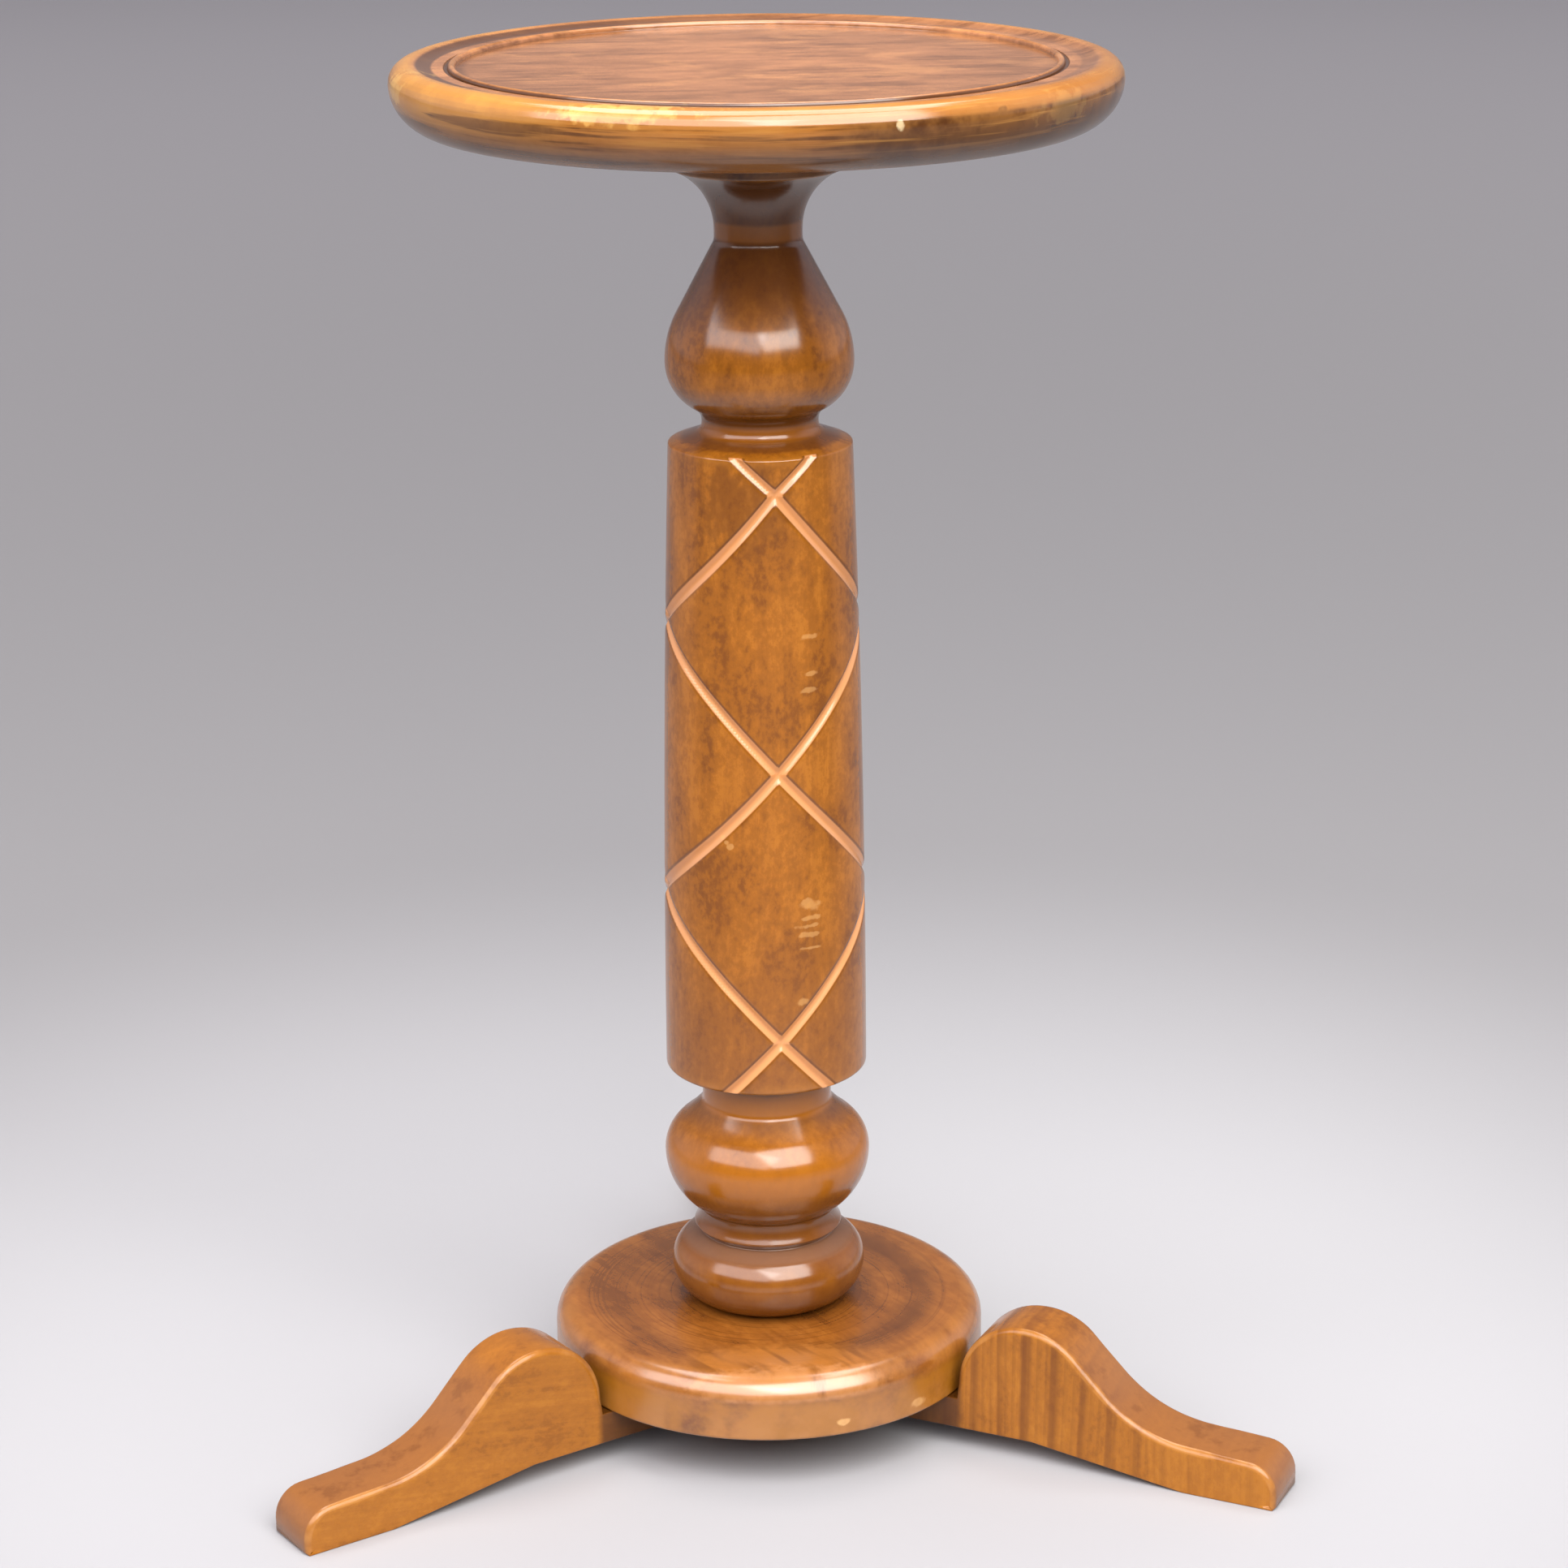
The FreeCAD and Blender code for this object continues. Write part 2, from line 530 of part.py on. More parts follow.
def draw_foot(body):
    """Sawn outline of a foot without its tongue."""
    slope = math.radians(length("foot_slope_angle"))
    fall = math.radians(length("toe_fall_angle"))
    hump_radius = length(HUMP_RADIUS)
    cove_radius = length(FOOT_COVE_RADIUS)
    toe_radius = length("toe_radius")
    inner = length("disc_radius + foot_gap")
    reach = length("foot_reach")
    lift = length("foot_lift")
    hump = (inner + hump_radius, length("hump_height") - hump_radius)
    hump_end = (hump[0] + hump_radius * math.sin(slope), hump[1] + hump_radius * math.cos(slope))
    cove_height = length("toe_height") + cove_radius * math.cos(fall)
    cove_start_height = cove_height - cove_radius * math.cos(slope)
    cove_start = (hump_end[0] + (hump_end[1] - cove_start_height) / math.tan(slope), cove_start_height)
    cove = (cove_start[0] + cove_radius * math.sin(slope), cove_height)
    cove_end = (cove[0] - cove_radius * math.sin(fall), length("toe_height"))
    toe_start_across = reach - toe_radius + toe_radius * math.sin(fall)
    toe_start = (toe_start_across, cove_end[1] - (toe_start_across - cove_end[0]) * math.tan(fall))
    toe = (reach - toe_radius, toe_start[1] - toe_radius * math.cos(fall))
    pad_end = reach - length(TOE_PAD_LENGTH)
    ramp_end = pad_end - length(FOOT_RAMP_LENGTH)
    # Each stretch: its end, and its centre where it is an arc
    stretches = [
        ((inner, hump[1]), None),
        (hump_end, hump),
        (cove_start, None),
        (cove_end, cove),
        (toe_start, None),
        ((reach, toe[1]), toe),
        ((reach, 0), None),
        ((pad_end, 0), None),
        ((ramp_end, lift), None),
        ((inner, lift), None),
    ]
    sketch = new_sketch(body, "outline", "XZ_Plane")
    here = (inner, lift)
    segments = []
    for end, centre in stretches:
        segments.append(add_segment(sketch, here, end, centre))
        here = end
    (end, back, slide, hollow, toe_top, corner, toe_end, pad, ramp, underside) = segments
    for before, after in zip(segments, segments[1:] + segments[:1]):
        smooth = before in (back, hollow, corner) or after in (back, hollow, corner)
        constrain(sketch, "Tangent" if smooth else "Coincident", before[0], before[2], after[0], after[1])
    constrain(sketch, "Vertical", end[0])
    constrain(sketch, "Vertical", toe_end[0])
    constrain(sketch, "Horizontal", pad[0])
    constrain(sketch, "Horizontal", underside[0])
    dimension(sketch, "Angle", (slide[0], slide[2], LEVEL_AXIS, END), "foot_slope_angle")
    dimension(sketch, "Angle", (toe_top[0], toe_top[2], LEVEL_AXIS, END), "toe_fall_angle")
    dimension(sketch, "Radius", (back[0],), HUMP_RADIUS)
    dimension(sketch, "Radius", (hollow[0],), FOOT_COVE_RADIUS)
    dimension(sketch, "Radius", (corner[0],), "toe_radius")
    dimension(sketch, "DistanceX", (*ORIGIN, end[0], end[1]), "disc_radius + foot_gap")
    dimension(sketch, "DistanceY", (*ORIGIN, end[0], end[1]), "foot_lift")
    dimension(sketch, "DistanceY", (*ORIGIN, back[0], CENTRE), f"hump_height - {turned_signs(HUMP_RADIUS)}")
    dimension(sketch, "DistanceY", (*ORIGIN, hollow[0], hollow[2]), "toe_height")
    dimension(sketch, "DistanceX", (*ORIGIN, pad[0], pad[1]), "foot_reach")
    dimension(sketch, "DistanceX", (pad[0], pad[2], pad[0], pad[1]), TOE_PAD_LENGTH)
    dimension(sketch, "DistanceX", (ramp[0], ramp[2], ramp[0], ramp[1]), FOOT_RAMP_LENGTH)
    constrain(sketch, "PointOnObject", pad[0], pad[1], LEVEL_AXIS)
    return sketch


def pad_board(body, sketch, name):
    board = body.newObject("PartDesign::Pad", f"{body.Name}_{name}")
    board.Profile = sketch
    board.SideType = "Symmetric"
    board.setExpression("Length", bound("foot_width"))
    doc.recompute()
    return board


def make_foot(name, angle):
    body = doc.addObject("PartDesign::Body", name)
    board = pad_board(body, draw_foot(body), "board")
    underside_heights = (0, length("foot_lift"))

    def is_upper_edge(edge):
        on_side = all(abs(abs(vertex.Y) - length("foot_width") / 2) < TOLERANCE for vertex in edge.Vertexes)
        below = all(
            min(abs(vertex.Z - height) for height in underside_heights) < TOLERANCE for vertex in edge.Vertexes)
        return on_side and not below

    round_edges(body, board, "edges", "foot_edge_rounding", is_upper_edge)
    tongue = new_sketch(body, "tongue_outline", "XZ_Plane")
    rectangle(
        tongue, "tongue_inner_radius", f"disc_radius + foot_gap + {HUMP_RADIUS}",
        "foot_lift", "foot_lift + tongue_thickness")
    tongued = pad_board(body, tongue, "tongue")
    places = new_sketch(body, "screw_places", "XY_Plane")
    places.setExpression("AttachmentOffset.Base.z", bound("foot_lift"))
    for place in ("screw_inset", "screw_inset + screw_spacing"):
        centre = FreeCAD.Vector(length(f"tongue_inner_radius + {place}"), 0, 0)
        circle = places.addGeometry(Part.Circle(centre, UP, length("screw_shank_radius")))
        constrain(places, "PointOnObject", circle, CENTRE, LEVEL_AXIS)
        dimension(places, "DistanceX", (*ORIGIN, circle, CENTRE), f"tongue_inner_radius + {place}")
        dimension(places, "Radius", (circle,), "screw_shank_radius")
    doc.recompute()
    holes = body.newObject("PartDesign::Hole", f"{name}_screw_holes")
    holes.Profile = places
    holes.DepthType = "ThroughAll"
    holes.Reversed = True
    holes.HoleCutType = "Countersink"
    holes.HoleCutCustomValues = True
    holes.setExpression("Diameter", f"2 * ({bound('screw_shank_radius + screw_clearance')})")
    holes.setExpression("HoleCutDiameter", f"2 * ({bound('screw_head_radius + screw_clearance')})")
    holes.HoleCutCountersinkAngle = COUNTERSINK_ANGLE
    doc.recompute()
    if holes.Shape.Volume >= tongued.Shape.Volume:
        raise RuntimeError("the tongue's screw holes cut nothing")
    body.Placement = FreeCAD.Placement(FreeCAD.Vector(), FreeCAD.Rotation(UP, angle))
    return body


def make_foot_screws():
    """Countersunk screws, two in each foot, as one group of solids."""
    screw = doc.addObject("PartDesign::Body", "screw")
    turning = turn(screw, AXIS, [
        ("screw_head_radius", "level", None),
        ("screw_shank_radius", "up screw_head_radius - screw_shank_radius", None),
        ("screw_shank_radius", "at screw_length - screw_tip_length", None),
        (AXIS, "up screw_tip_length", None),
    ])
    slot = doc.addObject("Part::Box", "screw_slot")
    slot.setExpression("Length", f"2 * ({bound('screw_head_radius + overrun')})")
    slot.setExpression("Width", bound("screw_slot_width"))
    slot.setExpression("Height", bound("screw_slot_depth + overrun"))
    slot.setExpression("Placement.Base.x", f"-({bound('screw_head_radius + overrun')})")
    slot.setExpression("Placement.Base.y", f"-{bound('screw_slot_width')} / 2")
    slot.setExpression("Placement.Base.z", f"-{bound('overrun')}")
    slotted = doc.addObject("Part::Cut", "slotted_screw")
    slotted.Base = screw
    slotted.Tool = slot
    doc.recompute()
    if slotted.Shape.Volume >= turning.Shape.Volume:
        raise RuntimeError("the screw's slot cuts nothing")
    copies = []
    for angle in FOOT_ANGLES.values():
        around = FreeCAD.Rotation(UP, angle)
        for place in ("screw_inset", "screw_inset + screw_spacing"):
            seat = FreeCAD.Vector(length(f"tongue_inner_radius + {place}"), 0, length("foot_lift"))
            copies.append(slotted.Shape.Solids[0].transformed(
                FreeCAD.Placement(around.multVec(seat), around).toMatrix()))
    group = doc.addObject("Part::Feature", "foot_screws")
    group.Shape = Part.makeCompound(copies)
    return group


def make_column_screw():
    head = doc.addObject("Part::Prism", "coach_head")
    head.Polygon = HEXAGON_SIDES
    head.setExpression("Circumradius", bound("coach_head_radius"))
    head.setExpression("Height", bound("coach_head_height"))
    head.setExpression("Placement.Base.z", bound(f"{DISC_UNDERSIDE} - washer_thickness - coach_head_height"))
    shank = doc.addObject("Part::Cylinder", "coach_shank")
    shank.setExpression("Radius", bound("coach_shank_radius"))
    shank.setExpression("Height", bound("coach_length - coach_tip_length"))
    shank.setExpression("Placement.Base.z", bound(f"{DISC_UNDERSIDE} - washer_thickness"))
    tip = doc.addObject("Part::Cone", "coach_tip")
    tip.setExpression("Radius1", bound("coach_shank_radius"))
    tip.Radius2 = 0
    tip.setExpression("Height", bound("coach_tip_length"))
    tip.setExpression(
        "Placement.Base.z", bound(f"{DISC_UNDERSIDE} - washer_thickness + coach_length - coach_tip_length"))
    screw = doc.addObject("Part::MultiFuse", "column_screw")
    screw.Shapes = [head, shank, tip]
    return screw


def make_column_washer():
    plate = doc.addObject("Part::Cylinder", "washer_plate")
    plate.setExpression("Radius", bound("washer_radius"))
    plate.setExpression("Height", bound("washer_thickness"))
    hole = doc.addObject("Part::Cylinder", "washer_hole")
    hole.setExpression("Radius", bound("coach_shank_radius + screw_clearance"))
    hole.setExpression("Height", bound("washer_thickness"))
    for round_piece in (plate, hole):
        round_piece.setExpression("Placement.Base.z", bound(f"{DISC_UNDERSIDE} - washer_thickness"))
    washer = doc.addObject("Part::Cut", "column_washer")
    washer.Base = plate
    washer.Tool = hole
    return washer


pieces = {"table_top": make_table_top(), "column": make_column(), "base_disc": make_base_disc()}
for foot_name, foot_angle in FOOT_ANGLES.items():
    pieces[foot_name] = make_foot(foot_name, foot_angle)
pieces["foot_screws"] = make_foot_screws()
pieces["column_screw"] = make_column_screw()
pieces["column_washer"] = make_column_washer()
for node, piece in pieces.items():
    piece.Label = node
doc.recompute()

for item in doc.Objects:
    if "Invalid" in item.State or "Error" in item.State:
        raise RuntimeError(f"{item.Name} failed: {item.State}")
for node, piece in pieces.items():
    if piece.Shape.isNull() or not piece.Shape.isValid():
        raise RuntimeError(f"{node} has no valid shape")

os.makedirs("parts", exist_ok=True)
for node, piece in pieces.items():
    piece.Shape.exportStep(f"parts/{node}.step")
    print(node, "solids", len(piece.Shape.Solids), "volume", round(piece.Shape.Volume))
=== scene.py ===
import bisect
import math

import bmesh
import bpy
from mathutils import Matrix, Vector, noise


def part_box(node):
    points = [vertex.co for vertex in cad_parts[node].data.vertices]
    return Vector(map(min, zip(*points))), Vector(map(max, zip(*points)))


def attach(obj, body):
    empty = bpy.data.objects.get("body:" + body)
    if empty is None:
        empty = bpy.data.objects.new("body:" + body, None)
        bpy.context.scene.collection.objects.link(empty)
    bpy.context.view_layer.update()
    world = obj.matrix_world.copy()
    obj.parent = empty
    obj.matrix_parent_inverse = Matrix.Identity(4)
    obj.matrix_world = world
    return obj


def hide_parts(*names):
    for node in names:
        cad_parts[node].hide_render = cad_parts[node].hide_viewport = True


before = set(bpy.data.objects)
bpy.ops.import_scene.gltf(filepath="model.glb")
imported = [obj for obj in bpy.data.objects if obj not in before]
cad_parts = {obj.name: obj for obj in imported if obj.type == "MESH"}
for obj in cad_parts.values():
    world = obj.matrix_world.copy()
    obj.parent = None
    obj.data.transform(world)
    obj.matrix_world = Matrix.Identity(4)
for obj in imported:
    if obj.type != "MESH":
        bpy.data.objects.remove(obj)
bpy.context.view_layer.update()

# Wine table: turned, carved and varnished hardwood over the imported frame.
# Outlines are in millimetres, materials and light in metres. The column's axis is Z and the floor is z = 0.

MM = 0.001


def box_mm(node):
    low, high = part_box(node)
    return low / MM, high / MM


TOP_LOW, TOP_HIGH = box_mm("table_top")
DISC_LOW, DISC_HIGH = box_mm("base_disc")
FOOT_LOW, FOOT_HIGH = box_mm("foot_back")

# Shapes of a turned stretch: a line, an arc that is upright or level at one end, or an arc's radius
LINE, UPRIGHT_START, UPRIGHT_END, LEVEL_END = "line", "upright at start", "upright at end", "level at end"

# Turning: how finely outlines are divided, and how softly their corners are worn
ARC_SPACING = 2.0
ARC_STEPS = 3
SHORT_ARC_STEPS = 4
SHAFT_SPACING = 1.0
CORNER_EASE = 0.5
TOP_CORNER_EASE = 0.35
CORNER_POINTS = 3
EASED_SHARE = 0.4
LONG_IN_EASES = 4
SHARPEST_UNEASED = math.radians(14)
HOLLOW_REACHES = (1.5, 5.0, 13.0)
TOP_SEGMENTS = 320
COLUMN_SEGMENTS = 240
DISC_SEGMENTS = 240

# Table top, inwards from the tip of the rim: stretch, width, rise, shape
TOP_RADIUS = TOP_HIGH.x
RIM_SET_BACK = 0.5
RIM_FOOT = 10.0
RIM_TIP_RISE = 14.8
TOP_STRETCHES = [
    ("lower half of the rim", -RIM_FOOT, RIM_TIP_RISE, UPRIGHT_END),
    ("upper half of the rim", 5.0, 6.35, UPRIGHT_START),
    ("crest", 4.1, 0.0, 8.2),
    ("hollow inside the rim", 5.9, -1.35, LEVEL_END),
    ("flat band", 4.0, 0.0, LINE),
    ("groove", 1.5, -0.8, UPRIGHT_START),
    ("outer side of the bead", 0.0, 0.55, LINE),
    ("bead up", 1.3, 1.3, UPRIGHT_START),
    ("bead down", 1.3, -1.3, UPRIGHT_END),
    ("inner side of the bead", 0.0, -0.55, LINE),
]

# Column, up from the disc: stretch, radius at its end, rise, shape
COLUMN_SEAT = 20.5
SHAFT_BOW = 7000.0
COLUMN_STRETCHES = [
    ("bead below its widest circle", 36.0, 14.8, UPRIGHT_END),
    ("bead above its widest circle", 31.7, 8.8, UPRIGHT_START),
    ("shoulder of the bead", 24.8, 3.6, LINE),
    ("underside of the ring", 27.6, 2.7, LINE),
    ("flared ring", 25.6, 6.6, UPRIGHT_END),
    ("crease under the torus", 26.0, 1.0, LINE),
    ("torus below its widest circle", 38.0, 21.6, UPRIGHT_END),
    ("torus above its widest circle", 30.2, 13.2, UPRIGHT_START),
    ("shoulder of the torus", 24.6, 5.7, LINE),
    ("hollow at the lower neck's foot", 23.8, 2.2, UPRIGHT_END),
    ("lower neck", 23.8, 9.8, LINE),
    ("undercut of the shaft", 35.7, 3.3, LINE),
    ("rounded lower edge of the shaft", 37.0, 1.5, UPRIGHT_END),
    ("shaft", 32.8, 233.0, SHAFT_BOW),
    ("upper arris of the shaft", 32.3, 0.5, LINE),
    ("shoulder of the shaft", 23.0, 3.4, LINE),
    ("hollow at the collar's foot", 20.7, 3.5, UPRIGHT_END),
    ("collar", 20.7, 0.9, LINE),
    ("hollow under the bulb", 23.4, 4.4, UPRIGHT_START),
    ("bulb below its widest circle", 33.4, 16.5, UPRIGHT_END),
    ("bulb above its widest circle", 29.4, 16.6, UPRIGHT_START),
    ("shoulder of the bulb", 16.5, 24.2, LINE),
    ("hollow at the neck's foot", 15.5, 3.2, UPRIGHT_END),
    ("neck", 15.5, 2.6, LINE),
    ("cove", 29.6, 21.0, UPRIGHT_START),
    ("lip of the flange", 30.2, 1.0, UPRIGHT_END),
    ("flange", 30.2, 15.6, LINE),
]

# Carving on the shaft, and how far it runs past the shaft's two ends
CARVING = {
    "Half turn": 100.9,
    "Crossing height": 257.6,
    "Ease": 3.8,
    "Depth": 1.5,
    "Mouth": 6.0,
    "Hand wander": 0.5,
}
CARVING_TOP_STRETCH = 0.28
CARVING_FRONT = math.radians(274.2)
CARVING_LIP = 0.35
CARVING_PAST_FOOT = 1.5
CARVING_PAST_TOP = 0.9
HAND_SCALE = 45.0
FAR_FROM_GROOVES = 100.0

# Base disc
DISC_EDGE = 9.0
DISC_ARRIS = 0.8

# Feet: places are measured out from the column's axis
FOOT_ANGLES = {"foot_back": 90, "foot_left": 210, "foot_right": 330}
FOOT_REACH = FOOT_HIGH.y
FOOT_TONGUE_END = FOOT_LOW.y
FOOT_HALF_WIDTH = FOOT_HIGH.x
FOOT_GAP = 2.3
FOOT_INNER = DISC_HIGH.x + FOOT_GAP
FOOT_LIFT = 8.0
HUMP_RADIUS = 26.5
FOOT_SLOPE = math.radians(45)
FOOT_COVE_RADIUS = 49.0
TOE_HEIGHT = 18.0
TOE_FALL = math.radians(3)
TOE_RADIUS = 11.0
TOE_PAD = 35.0
TOE_ARRIS = 1.0
FOOT_RAMP = 59.0
FOOT_ARRIS = 2.3
FOOT_SAWN_ARRIS = 0.5
FOOT_SPACING = 2.0
FOOT_STRAIGHT_SPACING = 6.0
FOOT_ROWS = 6
FOOT_GUARD = 0.8
FOOT_WEAR = 0.3
FOOT_WEAR_SCALE = 0.06
SHARPEST_MITRE = 0.5
ARRIS_RUBBED = 0.6

# Screws from below, out from the column's axis
SCREW_PLACES = (42.0, 68.0)
SCREW = {"Length": 25.0, "Head radius": 4.3, "Shank radius": 2.2, "Slot width": 1.2, "Slot depth": 0.8}
SCREW_SIDES = 40
SHANK_RINGS = 4
SCREW_TIP_SHARE = 0.5
SEAT_CLEARANCE = 0.1
SEAT_OVERRUN = 0.3


# Outlines

def arc_centre(start, end, shape):
    width, height = end[0] - start[0], end[1] - start[1]
    half_square = (width ** 2 + height ** 2) / 2
    if shape == UPRIGHT_START:
        return start[0] + half_square / width, start[1]
    if shape == UPRIGHT_END:
        return end[0] - half_square / width, end[1]
    if shape == LEVEL_END:
        return end[0], end[1] - half_square / height
    chord = math.hypot(width, height)
    reach = math.sqrt(shape ** 2 - (chord / 2) ** 2)
    return (start[0] + end[0]) / 2 - reach * height / chord, (start[1] + end[1]) / 2 + reach * width / chord


def arc_points(start, end, centre, spacing):
    """Points after start along the shorter arc to end."""
    radius = math.dist(start, centre)
    first = math.atan2(start[1] - centre[1], start[0] - centre[0])
    last = math.atan2(end[1] - centre[1], end[0] - centre[0])
    sweep = math.remainder(last - first, 2 * math.pi)
    count = max(ARC_STEPS, math.ceil(abs(sweep) * radius / spacing))
    angles = [first + sweep * step / count for step in range(1, count)]
    return [(centre[0] + radius * math.cos(a), centre[1] + radius * math.sin(a)) for a in angles] + [end]


def turned_points(start, stretches, inwards=False):
    """Outline of a turning. With inwards, a stretch gives its width inwards and not its radius."""
    points = [start]
    for _, across, rise, shape in stretches:
        here = points[-1]
        radius = here[0] - across if inwards else across
        end = (radius, here[1] + rise)
        if shape == LINE:
            points.append(end)
        else:
            short = math.dist(here, end) / SHORT_ARC_STEPS
            spacing = SHAFT_SPACING if shape == SHAFT_BOW else min(ARC_SPACING, short)
            points += arc_points(here, end, arc_centre(here, end, shape), spacing)
    return points


def ease_corners(points, ease=CORNER_EASE):
    """Round every sharp corner of an outline a little, and keep the stretches beside it straight."""
    eased = [points[0]]
    for before, here, after in zip(points, points[1:], points[2:]):
        into = Vector(here) - Vector(before)
        out = Vector(after) - Vector(here)
        if into.angle(out) < SHARPEST_UNEASED:
            eased.append(here)
            continue
        near = min(ease, into.length * EASED_SHARE)
        far = min(ease, out.length * EASED_SHARE)
        first = Vector(here) - into.normalized() * near
        last = Vector(here) + out.normalized() * far
        if into.length > LONG_IN_EASES * ease:
            eased.append(tuple(first - into.normalized() * near))
        for step in range(CORNER_POINTS + 1):
            share = step / CORNER_POINTS
            eased.append(tuple(first.lerp(Vector(here), share).lerp(Vector(here).lerp(last, share), share)))
        if out.length > LONG_IN_EASES * ease:
            eased.append(tuple(last + out.normalized() * far))
    return eased + [points[-1]]


def hollows(outline):
    """How hollow (above 0) or exposed (below 0) an outline is at each point, from its run on both sides."""
    lengths = [0.0]
    for here, there in zip(outline, outline[1:]):
        lengths.append(lengths[-1] + math.dist(here, there))

    def point_at(along):
        number = min(max(bisect.bisect_left(lengths, along), 1), len(lengths) - 1)
        share = (along - lengths[number - 1]) / max(lengths[number] - lengths[number - 1], 1e-9)
        return Vector(outline[number - 1]).lerp(Vector(outline[number]), min(max(share, 0.0), 1.0))

    values = []
    for along, point in zip(lengths, outline):
        total = 0.0
        for reach in HOLLOW_REACHES:
            before, after = point_at(along - reach), point_at(along + reach)
            run = (after - before).normalized()
            total += ((before + after) / 2 - Vector(point)).dot(Vector((run.y, -run.x))) / reach
        values.append(total / len(HOLLOW_REACHES))
    return values


# Meshes

def note(mesh, name, values):
    """Keep a number for each vertex, for the piece's material."""
    attribute = mesh.attributes.new(name, "FLOAT", "POINT")
    attribute.data.foreach_set("value", values)


def finish_piece(piece, node):
    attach(piece, "root")
    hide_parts(node)


def mesh_piece(name, vertices, faces, material):
    mesh = bpy.data.meshes.new(name)
    mesh.from_pydata(vertices, [], faces)
    mesh.validate()
    mesh.shade_smooth()
    mesh.materials.append(material)
    piece = bpy.data.objects.new(name, mesh)
    bpy.context.scene.collection.objects.link(piece)
    return piece


def keep_result(piece, modifier):
    """Keep what a modifier makes as the piece's plain mesh."""
    graph = bpy.context.evaluated_depsgraph_get()
    made = bpy.data.meshes.new_from_object(piece.evaluated_get(graph), depsgraph=graph)
    piece.modifiers.remove(modifier)
    made.name = piece.name
    piece.data = made


def turn_on_lathe(name, outline, segments, material):
    """Closed solid of revolution. The outline runs from the lower pole up the outside to the upper pole."""
    vertices = []
    rings = []
    noted = []
    for (radius, height), hollow in zip(outline, hollows(outline)):
        count = 1 if radius == 0 else segments
        noted += [hollow] * count
        rings.append([len(vertices) + step for step in range(count)])
        for step in range(count):
            angle = 2 * math.pi * step / segments
            vertices.append((radius * MM * math.cos(angle), radius * MM * math.sin(angle), height * MM))
    faces = []
    for lower, upper in zip(rings, rings[1:]):
        for step in range(segments):
            after = (step + 1) % segments
            corners = [lower[step % len(lower)], lower[after % len(lower)],
                       upper[after % len(upper)], upper[step % len(upper)]]
            faces.append(list(dict.fromkeys(corners)))
    piece = mesh_piece(name, vertices, faces, material)
    note(piece.data, "hollow", noted)
    return piece


def foot_outline():
    """Sawn outline of a foot, with True where its arrises are rounded over."""
    hump = (FOOT_INNER + HUMP_RADIUS, FOOT_HIGH.z - HUMP_RADIUS)
    hump_end = (hump[0] + HUMP_RADIUS * math.sin(FOOT_SLOPE), hump[1] + HUMP_RADIUS * math.cos(FOOT_SLOPE))
    cove_height = TOE_HEIGHT + FOOT_COVE_RADIUS * math.cos(TOE_FALL)
    cove_start_height = cove_height - FOOT_COVE_RADIUS * math.cos(FOOT_SLOPE)
    cove_start = (hump_end[0] + (hump_end[1] - cove_start_height) / math.tan(FOOT_SLOPE), cove_start_height)
    cove = (cove_start[0] + FOOT_COVE_RADIUS * math.sin(FOOT_SLOPE), cove_height)
    cove_end = (cove[0] - FOOT_COVE_RADIUS * math.sin(TOE_FALL), TOE_HEIGHT)
    toe_across = FOOT_REACH - TOE_RADIUS + TOE_RADIUS * math.sin(TOE_FALL)
    toe_start = (toe_across, TOE_HEIGHT - (toe_across - cove_end[0]) * math.tan(TOE_FALL))
    toe = (FOOT_REACH - TOE_RADIUS, toe_start[1] - TOE_RADIUS * math.cos(TOE_FALL))
    pad_end = FOOT_REACH - TOE_PAD
    stretches = [
        ((FOOT_INNER, DISC_LOW.z), None, False),
        ((FOOT_INNER, hump[1]), None, True),
        (hump_end, hump, True),
        (cove_start, None, True),
        (cove_end, cove, True),
        (toe_start, None, True),
        ((FOOT_REACH, toe[1]), toe, True),
        ((FOOT_REACH, TOE_ARRIS), None, True),
        ((FOOT_REACH - TOE_ARRIS, 0.0), None, False),
        ((pad_end, 0.0), None, False),
        ((pad_end - FOOT_RAMP, FOOT_LIFT), None, False),
        ((FOOT_TONGUE_END, FOOT_LIFT), None, False),
        ((FOOT_TONGUE_END, DISC_LOW.z), None, False),
    ]
    points = [((FOOT_TONGUE_END, DISC_LOW.z), False)]
    for end, centre, is_rounded in stretches:
        here = points[-1][0]
        if centre:
            run = arc_points(here, end, centre, FOOT_SPACING)
        else:
            count = max(1, round(math.dist(here, end) / FOOT_STRAIGHT_SPACING))
            run = [tuple(Vector(here).lerp(Vector(end), step / count)) for step in range(1, count + 1)]
        points += [(point, is_rounded) for point in run]
    return points[:-1]


